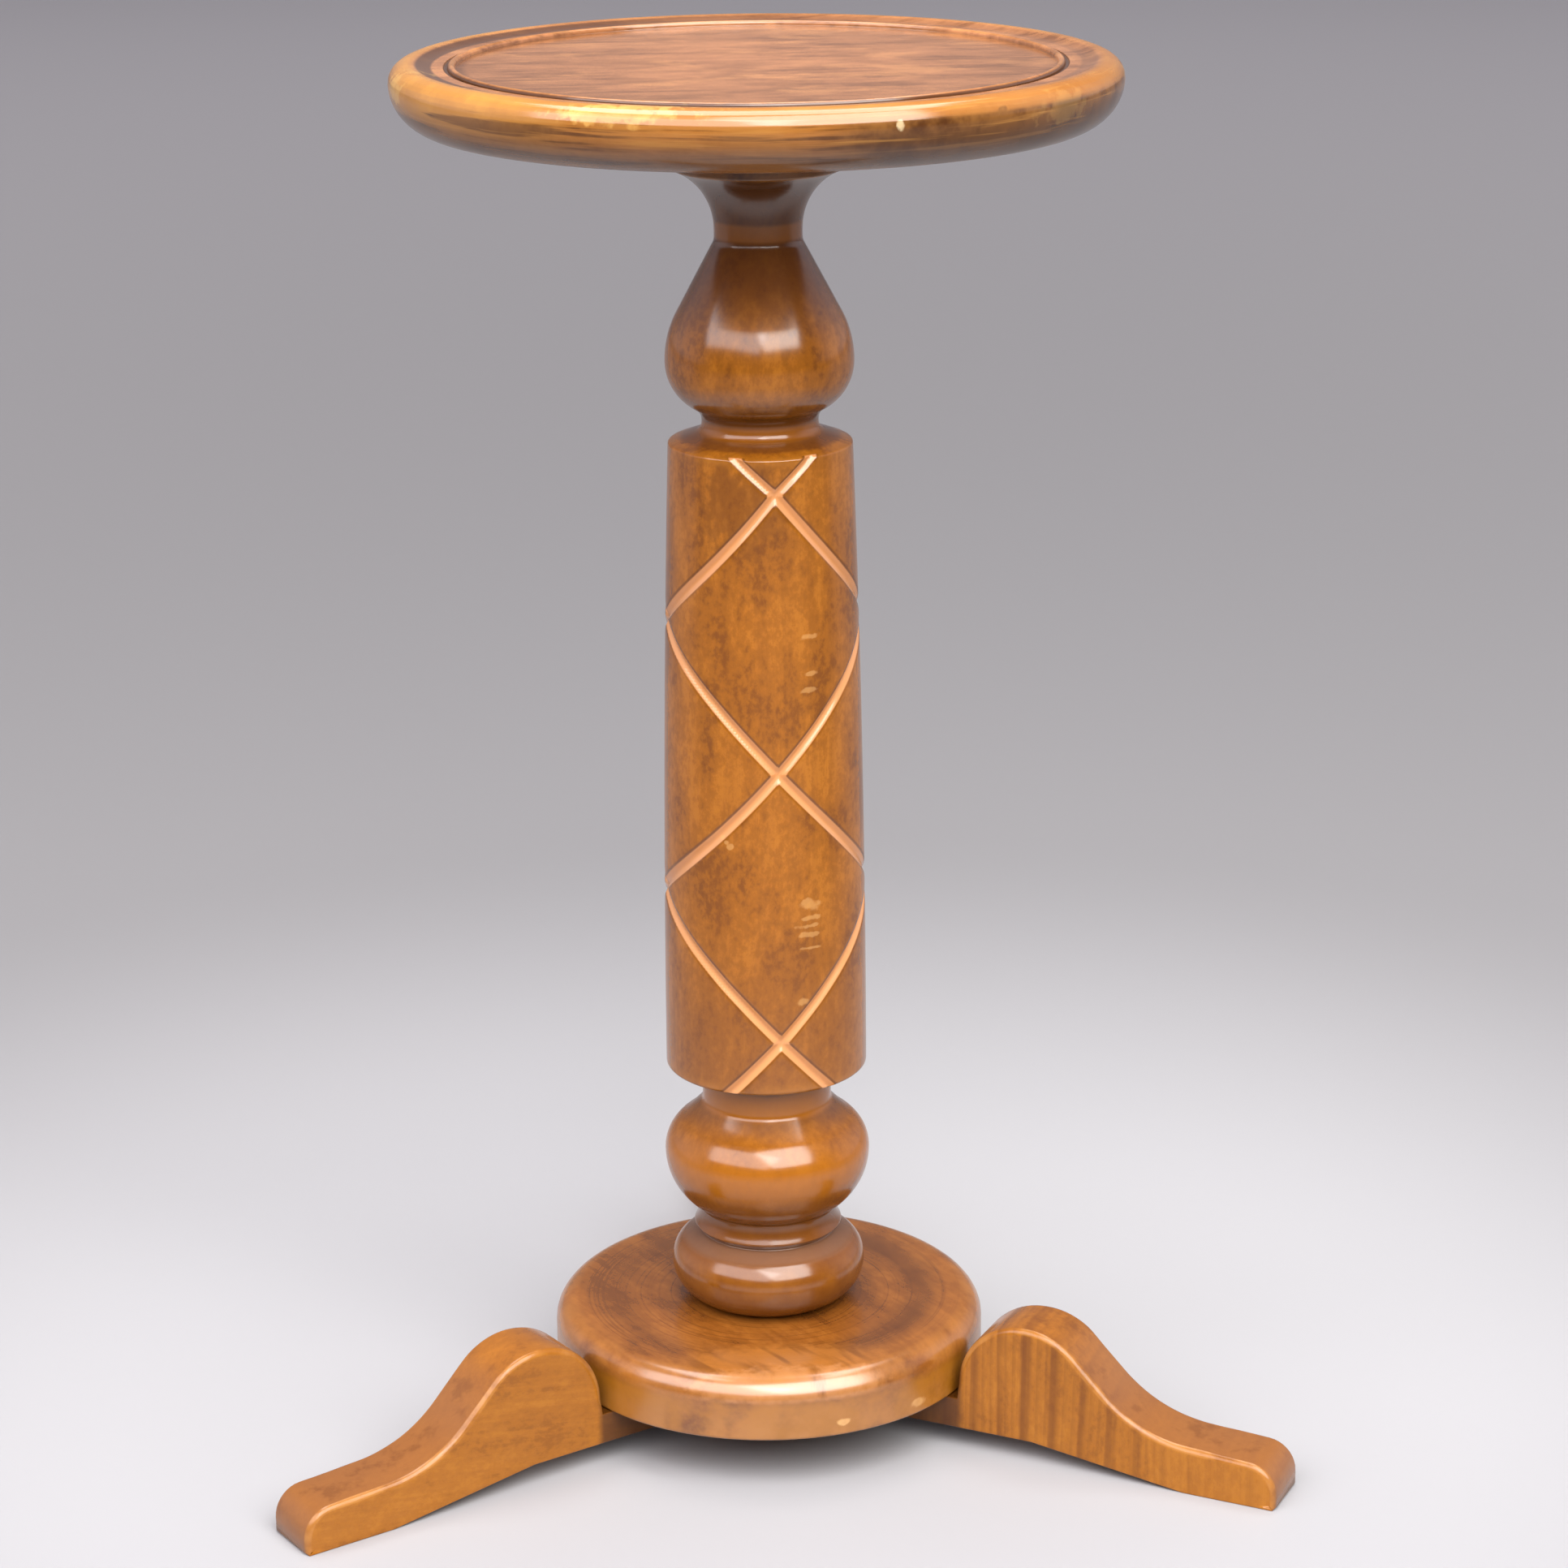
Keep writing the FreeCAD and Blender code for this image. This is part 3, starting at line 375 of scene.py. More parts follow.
def saw_foot(name, angle, material):
    """Foot sawn from a board, its upper arrises rounded over by hand."""
    outline = foot_outline()
    count = len(outline)
    turn = Matrix.Rotation(math.radians(angle), 3, "Z")
    insets = []
    for number, (point, is_rounded) in enumerate(outline):
        before = Vector(outline[number - 1][0])
        after = Vector(outline[(number + 1) % count][0])
        into = (Vector(point) - before).normalized()
        out = (after - Vector(point)).normalized()
        outward = Vector((-(into.y + out.y), into.x + out.x)).normalized()
        outward /= max(SHARPEST_MITRE, outward.dot(Vector((-into.y, into.x))))
        wear = noise.noise(Vector((point[0], point[1], angle)) * FOOT_WEAR_SCALE)
        arris = FOOT_ARRIS * (1 + FOOT_WEAR * max(wear, 0)) if is_rounded else FOOT_SAWN_ARRIS
        insets.append((Vector(point), outward, arris))
    vertices = []
    rows = []
    worn = []
    upper = []
    quarter = [math.pi / 2 * step / FOOT_ROWS for step in range(FOOT_ROWS + 1)]
    for side in (-1, 1):
        profile = [("face", None)] + [("arris", a) for a in reversed(quarter)]
        for kind, a in profile if side < 0 else reversed(profile):
            row = []
            for point, outward, arris in insets:
                if kind == "face":
                    inset, across = arris + FOOT_GUARD, FOOT_HALF_WIDTH
                else:
                    inset = arris * (1 - math.cos(a))
                    across = FOOT_HALF_WIDTH - arris + arris * math.sin(a)
                place = point - outward * inset
                row.append(len(vertices))
                is_rounded = arris > FOOT_SAWN_ARRIS
                worn.append(-ARRIS_RUBBED * math.sin(2 * a) if a and is_rounded else 0.0)
                upper.append(math.cos(a) if a is not None and is_rounded else 0.0)
                vertices.append(turn @ Vector((place.x, side * across, place.y)) * MM)
            rows.append(row)
    faces = []
    for near, far in zip(rows, rows[1:]):
        for step in range(count):
            after = (step + 1) % count
            faces.append((near[step], near[after], far[after], far[step]))
    faces.append(list(reversed(rows[0])))
    faces.append(rows[-1])
    foot = mesh_piece(name, vertices, faces, material)
    note(foot.data, "hollow", worn)
    note(foot.data, "upper_face", upper)
    shape = bmesh.new()
    shape.from_mesh(foot.data)
    bmesh.ops.recalc_face_normals(shape, faces=shape.faces)
    bmesh.ops.triangulate(shape, faces=[face for face in shape.faces if len(face.verts) > 4])
    shape.to_mesh(foot.data)
    shape.free()
    return foot


def screw_seats(angle):
    """Places of a foot's screws, on its underside."""
    way = Matrix.Rotation(math.radians(angle), 3, "Z")
    return [way @ Vector((place, 0, FOOT_LIFT)) * MM for place in SCREW_PLACES]


def sink_seats(foot, seats):
    """Countersink a foot's underside for its screws."""
    narrow = SCREW["Shank radius"] + SEAT_CLEARANCE
    wide = SCREW["Head radius"] + SEAT_CLEARANCE + SEAT_OVERRUN
    depth = wide - narrow
    shape = bmesh.new()
    for seat in seats:
        middle = Matrix.Translation(seat + Vector((0, 0, depth / 2 - SEAT_OVERRUN)) * MM)
        bmesh.ops.create_cone(shape, cap_ends=True, segments=SCREW_SIDES, depth=depth * MM, matrix=middle,
                              radius1=wide * MM, radius2=narrow * MM)
    mesh = bpy.data.meshes.new("countersink")
    shape.to_mesh(mesh)
    shape.free()
    cutter = bpy.data.objects.new("countersink", mesh)
    bpy.context.scene.collection.objects.link(cutter)
    modifier = foot.modifiers.new("countersink", "BOOLEAN")
    modifier.operation = "DIFFERENCE"
    modifier.solver = "EXACT"
    modifier.object = cutter
    keep_result(foot, modifier)
    bpy.data.objects.remove(cutter)


# Node trees

class Tree:
    """Adds nodes to a node tree. Inputs go by name or number, as values or as other nodes' outputs."""

    def __init__(self, tree):
        self.tree = tree

    def add(self, kind, inputs=None, **settings):
        node = self.tree.nodes.new(kind)
        for name, value in settings.items():
            setattr(node, name, value)
        for name, value in (inputs or {}).items():
            if isinstance(value, bpy.types.NodeSocket):
                self.tree.links.new(value, node.inputs[name])
            else:
                node.inputs[name].default_value = value
        return node

    def math(self, operation, *values):
        return self.add("ShaderNodeMath", dict(enumerate(values)), operation=operation).outputs[0]

    def vector(self, operation, *values):
        node = self.add("ShaderNodeVectorMath", dict(enumerate(values)), operation=operation)
        return node.outputs["Value" if operation == "LENGTH" else "Vector"]

    def noise(self, position, scale, detail, roughness=0.5, output="Fac"):
        """Noise whose scale is a number, or one number for each axis."""
        if isinstance(scale, tuple):
            position = self.vector("MULTIPLY", position, scale)
            scale = 1.0
        inputs = {"Vector": position, "Scale": scale, "Detail": detail, "Roughness": roughness}
        return self.add("ShaderNodeTexNoise", inputs).outputs[output]

    def step(self, value, low, high, start=0.0, end=1.0):
        """Smooth passage from start to end while the value goes from low to high."""
        inputs = {"Value": value, "From Min": low, "From Max": high, "To Min": start, "To Max": end}
        return self.add("ShaderNodeMapRange", inputs, interpolation_type="SMOOTHSTEP").outputs[0]

    def mix(self, share, first, second):
        inputs = {0: share, 6: first, 7: second}
        return self.add("ShaderNodeMix", inputs, data_type="RGBA").outputs[2]


def run_tree(piece, group, sizes):
    """Evaluate a Geometry Nodes tree on a piece and keep the result as its plain mesh."""
    modifier = piece.modifiers.new(group.name, "NODES")
    modifier.node_group = group
    for item in group.interface.items_tree:
        if item.name in sizes:
            modifier[item.identifier] = sizes[item.name]
    keep_result(piece, modifier)


def new_geometry_tree(name, inputs):
    """Geometry Nodes group with a geometry in, a geometry out, named sizes and a material."""
    group = bpy.data.node_groups.new(name, "GeometryNodeTree")
    group.interface.new_socket("Geometry", in_out="INPUT", socket_type="NodeSocketGeometry")
    for size in inputs:
        group.interface.new_socket(size, in_out="INPUT", socket_type="NodeSocketFloat")
    group.interface.new_socket("Material", in_out="INPUT", socket_type="NodeSocketMaterial")
    group.interface.new_socket("Geometry", in_out="OUTPUT", socket_type="NodeSocketGeometry")
    tree = Tree(group)
    return tree, tree.add("NodeGroupInput").outputs, tree.add("NodeGroupOutput").inputs


def end_geometry_tree(tree, geometry, given, result):
    """Make the geometry real, give it the material and send it out."""
    real = tree.add("GeometryNodeRealizeInstances", {0: geometry}).outputs[0]
    inputs = {"Geometry": real, "Material": given["Material"]}
    dressed = tree.add("GeometryNodeSetMaterial", inputs).outputs[0]
    tree.tree.links.new(dressed, result[0])
    return tree.tree


def carving_tree():
    """Cut two crossing sets of V grooves into the shaft and note where each point lies beside them.

    near_groove is the distance and over_groove the height above the groove, both in half mouths.
    """
    sizes = list(CARVING) + ["Top stretch", "Front angle", "Lip", "Shaft foot", "Shaft top"]
    sizes += ["Bow", "Bow centre", "Bow height"]
    tree, given, result = new_geometry_tree("criss_cross_carving", sizes)
    calc = tree.math
    position = tree.add("GeometryNodeInputPosition").outputs[0]
    place = tree.add("ShaderNodeSeparateXYZ", {0: position}).outputs
    radius = calc("SQRT", calc("ADD", calc("POWER", place[0], 2.0), calc("POWER", place[1], 2.0)))
    angle = calc("SUBTRACT", calc("ARCTAN2", place[1], place[0]), given["Front angle"])
    climb = calc("MULTIPLY", calc("DIVIDE", given["Half turn"], math.pi), angle)
    ease = calc("MULTIPLY", given["Ease"], calc("SINE", calc("MULTIPLY", angle, 2.0)))
    climb = calc("ADD", climb, ease)
    hand = calc("SUBTRACT", tree.noise(position, HAND_SCALE, 1.0), 0.5)
    wander = calc("MULTIPLY", hand, given["Hand wander"])
    height = calc("ADD", calc("SUBTRACT", place[2], given["Crossing height"]), wander)
    over_top_crossing = calc("MAXIMUM", calc("SUBTRACT", height, given["Half turn"]), 0.0)
    height = calc("ADD", height, calc("MULTIPLY", over_top_crossing, given["Top stretch"]))
    half_space = calc("DIVIDE", given["Half turn"], 2.0)
    low_half_space = calc("MULTIPLY", half_space, -1.0)
    rising = calc("WRAP", calc("SUBTRACT", height, climb), half_space, low_half_space)
    falling = calc("WRAP", calc("ADD", height, climb), half_space, low_half_space)
    rising_is_near = calc("LESS_THAN", calc("ABSOLUTE", rising), calc("ABSOLUTE", falling))
    nearest = calc("ADD", falling, calc("MULTIPLY", rising_is_near, calc("SUBTRACT", rising, falling)))
    over_groove = calc("DIVIDE", nearest, calc("DIVIDE", given["Mouth"], 2.0))
    distance = calc("ABSOLUTE", over_groove)
    from_bow = calc("SUBTRACT", place[2], given["Bow height"])
    bow = calc("SQRT", calc("SUBTRACT", calc("POWER", given["Bow"], 2.0), calc("POWER", from_bow, 2.0)))
    surface = calc("ADD", given["Bow centre"], bow)
    cut = calc("SUBTRACT", surface, calc("MULTIPLY", given["Depth"], calc("SUBTRACT", 1.0, distance)))
    carved = calc("SMOOTH_MIN", radius, cut, given["Lip"])
    above = calc("GREATER_THAN", place[2], given["Shaft foot"])
    on_shaft = calc("MULTIPLY", above, calc("LESS_THAN", place[2], given["Shaft top"]))
    scale = calc("DIVIDE", carved, radius)
    moved = tree.add("ShaderNodeCombineXYZ", {
        0: calc("MULTIPLY", place[0], scale), 1: calc("MULTIPLY", place[1], scale), 2: place[2]}).outputs[0]
    off_shaft = calc("MULTIPLY", calc("SUBTRACT", 1.0, on_shaft), FAR_FROM_GROOVES)
    noted = given["Geometry"]
    for name, value in (("near_groove", calc("ADD", distance, off_shaft)), ("over_groove", over_groove)):
        noted = tree.add("GeometryNodeStoreNamedAttribute", {
            "Geometry": noted, "Name": name, "Value": value}, data_type="FLOAT", domain="POINT").outputs[0]
    shaped = tree.add("GeometryNodeSetPosition", {
        "Geometry": noted, "Selection": on_shaft, "Position": moved}).outputs[0]
    return end_geometry_tree(tree, shaped, given, result)


def screw_tree():
    """A countersunk, slotted screw on every point, head down."""
    tree, given, result = new_geometry_tree("countersunk_screws", SCREW)
    calc = tree.math
    head_height = calc("SUBTRACT", given["Head radius"], given["Shank radius"])
    head = tree.add("GeometryNodeMeshCone", {
        "Vertices": SCREW_SIDES, "Radius Bottom": given["Head radius"], "Radius Top": given["Shank radius"],
        "Depth": head_height}).outputs[0]
    shank_length = calc("SUBTRACT", given["Length"], head_height)
    shank = tree.add("GeometryNodeMeshCone", {
        "Vertices": SCREW_SIDES, "Side Segments": SHANK_RINGS, "Radius Bottom": given["Shank radius"],
        "Radius Top": calc("MULTIPLY", given["Shank radius"], SCREW_TIP_SHARE),
        "Depth": shank_length}).outputs[0]
    lift = tree.add("ShaderNodeCombineXYZ", {2: head_height}).outputs[0]
    raised = tree.add("GeometryNodeTransform", {"Geometry": shank, "Translation": lift}).outputs[0]
    # The block that cuts the slot lies half outside the head and is longer than the head is wide
    slot_size = tree.add("ShaderNodeCombineXYZ", {
        0: calc("MULTIPLY", given["Head radius"], 3.0), 1: given["Slot width"],
        2: calc("MULTIPLY", given["Slot depth"], 2.0)}).outputs[0]
    slot = tree.add("GeometryNodeMeshCube", {"Size": slot_size}).outputs[0]
    cut = {0: head, 1: slot}
    slotted = tree.add("GeometryNodeMeshBoolean", cut, operation="DIFFERENCE", solver="EXACT").outputs[0]
    joined = tree.add("GeometryNodeJoinGeometry")
    for part in (slotted, raised):
        tree.tree.links.new(part, joined.inputs[0])
    copies = tree.add("GeometryNodeInstanceOnPoints", {
        "Points": given["Geometry"], "Instance": joined.outputs[0]}).outputs[0]
    return end_geometry_tree(tree, copies, given, result)


# Materials

def new_material(name):
    material = bpy.data.materials.new(name)
    material.use_nodes = True
    tree = Tree(material.node_tree)
    shader = material.node_tree.nodes["Principled BSDF"]
    return material, tree, shader


def wood_frame(grain, pith):
    """Turn and place a texture so that its Z axis runs along the grain through the pith."""
    along = Vector(grain).normalized()
    across = along.orthogonal().normalized()
    turn = Matrix((across, along.cross(across), along))
    return {"Rotation": turn.to_euler("XYZ"), "Location": turn @ -Vector(pith)}


class StainedWood:
    """Stained and varnished solid wood, built up layer by layer.

    tones: light, middle and dark. figure: how much broad patches, small mottles and long streaks count.
    """

    def __init__(self, name, grain, pith, tones, figure):
        self.material, self.tree, self.shader = new_material(name)
        tree = self.tree
        self.position = tree.add("ShaderNodeTexCoord").outputs["Object"]
        place = tree.add("ShaderNodeSeparateXYZ", {0: self.position}).outputs
        self.across, _, self.height = place
        self.radius = tree.vector("LENGTH", tree.vector("MULTIPLY", self.position, (1.0, 1.0, 0.0)))
        lie = tree.add("ShaderNodeMapping", {"Vector": self.position, **wood_frame(grain, pith)}).outputs[0]
        drift = tree.noise(lie, (24.0, 24.0, 6.0), 2.0, output="Color")
        drift = tree.vector("SUBTRACT", drift, (0.5, 0.5, 0.5))
        self.lie = tree.vector("MULTIPLY_ADD", drift, (0.009, 0.009, 0.0), lie)
        broad = tree.step(tree.noise(self.lie, (62.0, 62.0, 30.0), 3.0, 0.6), 0.3, 0.7)
        mottle = tree.step(tree.noise(self.lie, (400.0, 400.0, 280.0), 4.0, 0.7), 0.3, 0.7)
        streak = tree.step(tree.noise(self.lie, (480.0, 480.0, 15.0), 3.0, 0.6), 0.3, 0.7)
        self.fibre = tree.noise(self.lie, (1900.0, 1900.0, 60.0), 3.0, 0.6)
        value = tree.math("MULTIPLY", broad, figure[0])
        value = tree.math("MULTIPLY_ADD", mottle, figure[1], value)
        value = tree.math("MULTIPLY_ADD", streak, figure[2], value)
        light, middle, self.dark = tones
        self.colour = tree.mix(tree.step(value, 0.12, 0.48), self.dark, middle)
        self.colour = tree.mix(tree.step(value, 0.46, 0.85), self.colour, light)
        self.paint(tree.step(self.fibre, 0.5, 0.72, 0.0, 0.1), self.dark)
        self.hollow = self.noted("hollow")
        self.torn = tree.math("SUBTRACT", tree.noise(self.position, 260.0, 3.0), 0.5)

    def noted(self, name):
        """Number kept for each vertex of the mesh."""
        return self.tree.add("ShaderNodeAttribute", attribute_name=name).outputs["Fac"]

    def paint(self, share, colour):
        self.colour = self.tree.mix(share, self.colour, colour)

    def both(self, *shares):
        """Where all the shares overlap."""
        share = shares[0]
        for other in shares[1:]:
            share = self.tree.math("MULTIPLY", share, other)
        return share

    def band(self, value, rise, fall):
        """Share that rises over one stretch of the value and falls over the other."""
        return self.both(self.tree.step(value, *rise), self.tree.step(value, *fall))

    def patchy(self, scale, low, high, strength=1.0):
        """Uneven patches all over the piece."""
        return self.tree.step(self.tree.noise(self.position, scale, 4.0, 0.65), low, high, 0.0, strength)

    def spot(self, centre, sizes, ragged, strength=1.0):
        """Ragged patch around a place, strongest in the middle."""
        tree = self.tree
        away = tree.vector("SUBTRACT", self.position, tuple(place * MM for place in centre))
        away = tree.vector("DIVIDE", away, tuple(size * MM for size in sizes))
        away = tree.math("MULTIPLY_ADD", self.torn, ragged * 2, tree.vector("LENGTH", away))
        return tree.step(away, 1.0, 0.5, 0.0, strength)

    def growth_rings(self, spacing, strength, late_from=0.3, colour=None, where=1.0):
        """Darker late wood in each year's ring, from a share of the ring's width to its end."""
        tree = self.tree
        away = tree.vector("LENGTH", tree.vector("MULTIPLY", self.lie, (1.0, 1.0, 0.0)))
        ring = tree.math("FRACT", tree.math("DIVIDE", away, spacing))
        late = tree.math("MULTIPLY", tree.step(ring, late_from, 0.86), tree.step(ring, 1.0, 0.9))
        uneven = tree.step(tree.noise(self.lie, (35.0, 35.0, 9.0), 3.0), 0.3, 0.7, 0.2, strength)
        self.paint(self.both(late, uneven, where), colour or self.dark)

    def age(self, hollow_shade, worn, shade_strength=0.85):
        """Painted shade in the hollows, and stain rubbed off the edges."""
        edge = self.tree.step(self.hollow, -0.12, -0.4, 0.0, 0.6)
        self.paint(self.both(edge, self.patchy(55.0, 0.35, 0.6)), worn)
        self.paint(self.tree.step(self.hollow, 0.03, 0.36, 0.0, shade_strength), hollow_shade)

    def varnish(self, wood_rough=0.3, coat_rough=0.18, coat_ior=1.6):
        """Finish the wood. The two roughnesses are the wood's own and that of the varnish over it."""
        tree = self.tree
        rough = self.patchy(60.0, 0.3, 0.7, 0.14)
        rough = tree.math("ADD", rough, wood_rough - 0.06)
        waves = tree.noise(self.position, 75.0, 1.0)
        grain = tree.noise(self.lie, (380.0, 380.0, 26.0), 2.0)
        relief = tree.math("MULTIPLY", waves, 2.8)
        relief = tree.math("MULTIPLY_ADD", grain, 0.35, relief)
        relief = tree.math("MULTIPLY_ADD", self.fibre, 0.2, relief)
        bump = tree.add("ShaderNodeBump", {"Strength": 0.32, "Distance": 0.0004, "Height": relief})
        links = tree.tree.links
        links.new(self.colour, self.shader.inputs["Base Color"])
        links.new(rough, self.shader.inputs["Roughness"])
        links.new(bump.outputs[0], self.shader.inputs["Normal"])
        self.shader.inputs["Specular IOR Level"].default_value = 0.0
        self.shader.inputs["Coat Weight"].default_value = 1.0
        self.shader.inputs["Coat Roughness"].default_value = coat_rough
        self.shader.inputs["Coat IOR"].default_value = coat_ior
        return self.material


def tone(red, green, blue):
    return red, green, blue, 1.0


# Near-black painted shade for hollows, grooves and the gap beside the disc, also laid on a dent in the rim
SHADE_AND_DIRT = tone(0.05, 0.016, 0.004)
STRIPE = tone(0.12, 0.035, 0.004)

# Heights of the column's narrow necks that get paler amber painted on as painted light in their shade, and
# how strongly
NECKS_PAINTED_LIGHT = [(0.122, 0.130, 0.6), (0.376, 0.3785, 0.3), (0.4448, 0.4488, 0.5)]
NECK_FADE = 0.002

# Wear, stains and painted highlights: place and size of each mark in millimetres, and the strength of the
# rim's marks
RIM_WEAR = [
    ((-122, -22, 500), (14, 14, 6), 0.75),
    ((-55, -112, 503.5), (34, 14, 4), 0.8),
    ((95, -83, 499), (17, 14, 6), 0.17),
    ((124, -20, 501), (5, 9, 3), 0.7),
]
RIM_CHIP = ((36.5, -121, 499.8), (1.8, 4, 2.1))
RIM_DENT = ((71, -103.5, 501), (2.6, 3, 1.8))
SHAFT_STAIN = ((-9, -31, 354), (22, 14, 20))
SHAFT_GLINTS_AND_SCRATCH = [
    ((15.0, -32.3, 307.3), (3.6, 4, 1.3)),
    ((14.9, -32.5, 294.0), (3.4, 4, 1.0)),
    ((14.8, -32.6, 288.1), (4.2, 4, 1.2)),
    ((14.2, -34.1, 208.5), (4.6, 4, 2.6)),
    ((14.2, -34.1, 203.4), (5.0, 4, 1.1)),
    ((14.1, -34.2, 200.4), (5.6, 4, 1.0)),
    ((14.1, -34.2, 197.2), (6.2, 4, 1.2)),
    ((14.1, -34.2, 192.0), (4.4, 4, 0.8)),
    ((10.9, -35.6, 171.8), (3.0, 4, 1.8)),
    ((-17.4, -31.2, 233.9), (1.7, 3, 1.3)),
    ((-16.0, -31.9, 232.5), (1.7, 3, 1.3)),
    ((-14.6, -32.6, 231.1), (1.7, 3, 1.3)),
]
DISC_FRONT = ((0, -62, 43), (48, 17, 10))
DISC_EDGE_HIGHLIGHT = ((2, -76, 40), (58, 12, 8))
DISC_CHIPS = [
    ((49.5, -63.1, 24.4), (4, 4, 2.2)),
    ((21, -77.4, 25.1), (3, 3, 1.6)),
]


def top_wood():
    tones = tone(0.36, 0.152, 0.06), tone(0.28, 0.115, 0.044), tone(0.15, 0.057, 0.02)
    wood = StainedWood("top_wood", (1, 0.03, 0), (0, 0.03, 0.42), tones, (0.5, 0.15, 0.35))
    tree = wood.tree
    # Dark and light figure of the board
    wood.paint(wood.patchy((38.0, 70.0, 70.0), 0.46, 0.64, 0.46), tone(0.15, 0.055, 0.016))
    wood.paint(wood.patchy((28.0, 52.0, 52.0), 0.48, 0.34, 0.55), tone(0.45, 0.2, 0.072))
    # Painted shade and dark reflection inside the rim and inside the bead, more of it on the left
    hollow = wood.band(wood.radius, (0.111, 0.1122), (0.118, 0.1165))
    wood.paint(wood.both(hollow, tree.step(wood.across, 0.06, -0.07, 0.35, 0.9)), tone(0.06, 0.025, 0.012))
    inner = wood.band(wood.radius, (0.099, 0.102), (0.1036, 0.103))
    wood.paint(wood.both(inner, tree.step(wood.across, -0.03, -0.085, 0.15, 0.65)), tone(0.08, 0.03, 0.012))
    # Rim: paler at its left end as painted light, darker low down as painted shade, and darker on the right
    # of its face
    rim = wood.both(tree.step(wood.radius, 0.1165, 0.1205), tree.step(wood.height, 0.487, 0.497))
    wood.paint(wood.both(rim, 0.85), tone(0.285, 0.107, 0.015))
    wood.paint(wood.both(rim, tree.step(wood.across, -0.06, -0.1, 0.0, 0.7)), tone(0.46, 0.22, 0.045))
    face = wood.both(tree.step(wood.radius, 0.115, 0.12), tree.step(wood.height, 0.502, 0.5))
    wood.paint(wood.both(face, tree.step(wood.height, 0.4995, 0.488, 0.0, 0.8)), tone(0.12, 0.043, 0.007))
    right = tree.step(wood.across, 0.004, 0.035, 0.0, 0.95)
    wood.paint(wood.both(face, right, wood.patchy(24.0, 0.2, 0.45)), tone(0.055, 0.019, 0.005))
    # Long dark and light lines round the rim
    lines = tree.noise(wood.position, (16.0, 16.0, 430.0), 3.0, 0.6)
    wood.paint(wood.both(face, tree.step(lines, 0.49, 0.62, 0.0, 0.85)), tone(0.065, 0.022, 0.005))
    wood.paint(wood.both(rim, tree.step(lines, 0.46, 0.34, 0.0, 0.5)), tone(0.4, 0.19, 0.04))
    for place, sizes, strength in RIM_WEAR:
        wood.paint(wood.spot(place, sizes, 1.1, strength), tone(0.55, 0.32, 0.085))
    wood.paint(wood.spot(*RIM_CHIP, 1.0, 0.85), tone(0.6, 0.5, 0.3))
    wood.paint(wood.spot(*RIM_DENT, 0.6, 0.9), SHADE_AND_DIRT)
    wood.age(SHADE_AND_DIRT, tone(0.3, 0.13, 0.03))
    # Painted shade down in the groove and on the bead's outer side
    groove = wood.band(wood.radius, (0.1045, 0.1053), (0.1078, 0.107))
    wood.paint(wood.both(groove, tree.step(wood.height, 0.5053, 0.5046, 0.0, 0.9)), SHADE_AND_DIRT)
    return wood.varnish(0.34, 0.17)


def column_wood():
    tones = tone(0.34, 0.117, 0.009), tone(0.255, 0.083, 0.005), tone(0.16, 0.049, 0.004)
    wood = StainedWood("column_wood", (0.02, 0.01, 1), (0.05, 0.03, 0), tones, (0.52, 0.4, 0.08))
    tree = wood.tree
    wood.growth_rings(0.007, 0.16)
    # Lower end: painted shade towards the foot, paler on the torus's belly, darker low on the shaft
    wood.paint(tree.step(wood.height, 0.108, 0.08, 0.0, 0.72), tone(0.1, 0.028, 0.003))
    belly = wood.band(wood.height, (0.09, 0.098), (0.112, 0.105))
    wood.paint(wood.both(belly, 0.55), tone(0.45, 0.145, 0.005))
    wood.paint(tree.step(wood.height, 0.22, 0.14, 0.0, 0.4), tone(0.15, 0.047, 0.004))
    # Upper end: painted shade from the bulb's shoulder up, under the bulb, in the cove and at the top of the
    # shaft near the collar, and a dark stain high on the shaft
    wood.paint(tree.step(wood.height, 0.408, 0.432, 0.0, 0.72), tone(0.095, 0.029, 0.008))
    shade_under_bulb = wood.band(wood.height, (0.396, 0.387), (0.379, 0.381))
    wood.paint(wood.both(shade_under_bulb, 0.45), tone(0.1, 0.03, 0.004))
    wood.paint(tree.step(wood.height, 0.452, 0.464, 0.0, 0.6), tone(0.05, 0.015, 0.003))
    wood.paint(wood.spot(*SHAFT_STAIN, 0.9, 0.45), tone(0.11, 0.034, 0.004))
    shade_near_collar = tree.step(wood.radius, 0.034, 0.026, 0.3, 0.75)
    shoulder = wood.both(tree.step(wood.height, 0.3722, 0.3732), shade_near_collar, tree.step(wood.height, 0.386, 0.382))
    wood.paint(shoulder, tone(0.1, 0.03, 0.006))
    wood.age(tone(0.1, 0.034, 0.005), tone(0.3, 0.11, 0.012), 0.35)
    # Painted light: paler amber on the narrow necks
    for low, high, strength in NECKS_PAINTED_LIGHT:
        neck = wood.band(wood.height, (low - NECK_FADE, low), (high + NECK_FADE, high))
        wood.paint(wood.both(neck, strength), tone(0.4, 0.13, 0.007))
    shelf = wood.band(wood.height, (0.0655, 0.0675), (0.0712, 0.0702))
    wood.paint(wood.both(shelf, 0.5), tone(0.17, 0.1, 0.07))
    # Grooves: bare wood, with painted light on the wall that faces up and a painted shadow along the edge,
    # stronger above
    near = wood.noted("near_groove")
    over = wood.noted("over_groove")
    inside = tree.step(near, 1.05, 0.85)
    edge = wood.band(near, (0.78, 1.0), (1.45, 1.12))
    wood.paint(inside, tone(0.5, 0.205, 0.062))
    wood.paint(wood.both(inside, tree.step(over, 0.3, -0.3, 0.0, 0.7)), tone(0.56, 0.265, 0.112))
    wood.paint(wood.both(edge, tree.step(over, -0.2, 0.2, 0.3, 0.7)), tone(0.095, 0.028, 0.004))
    # Pale marks on the shaft: painted highlights on small ripples, and a scratch
    for place, sizes in SHAFT_GLINTS_AND_SCRATCH:
        wood.paint(wood.spot(place, sizes, 1.1, 0.36), tone(0.6, 0.33, 0.11))
    return wood.varnish()


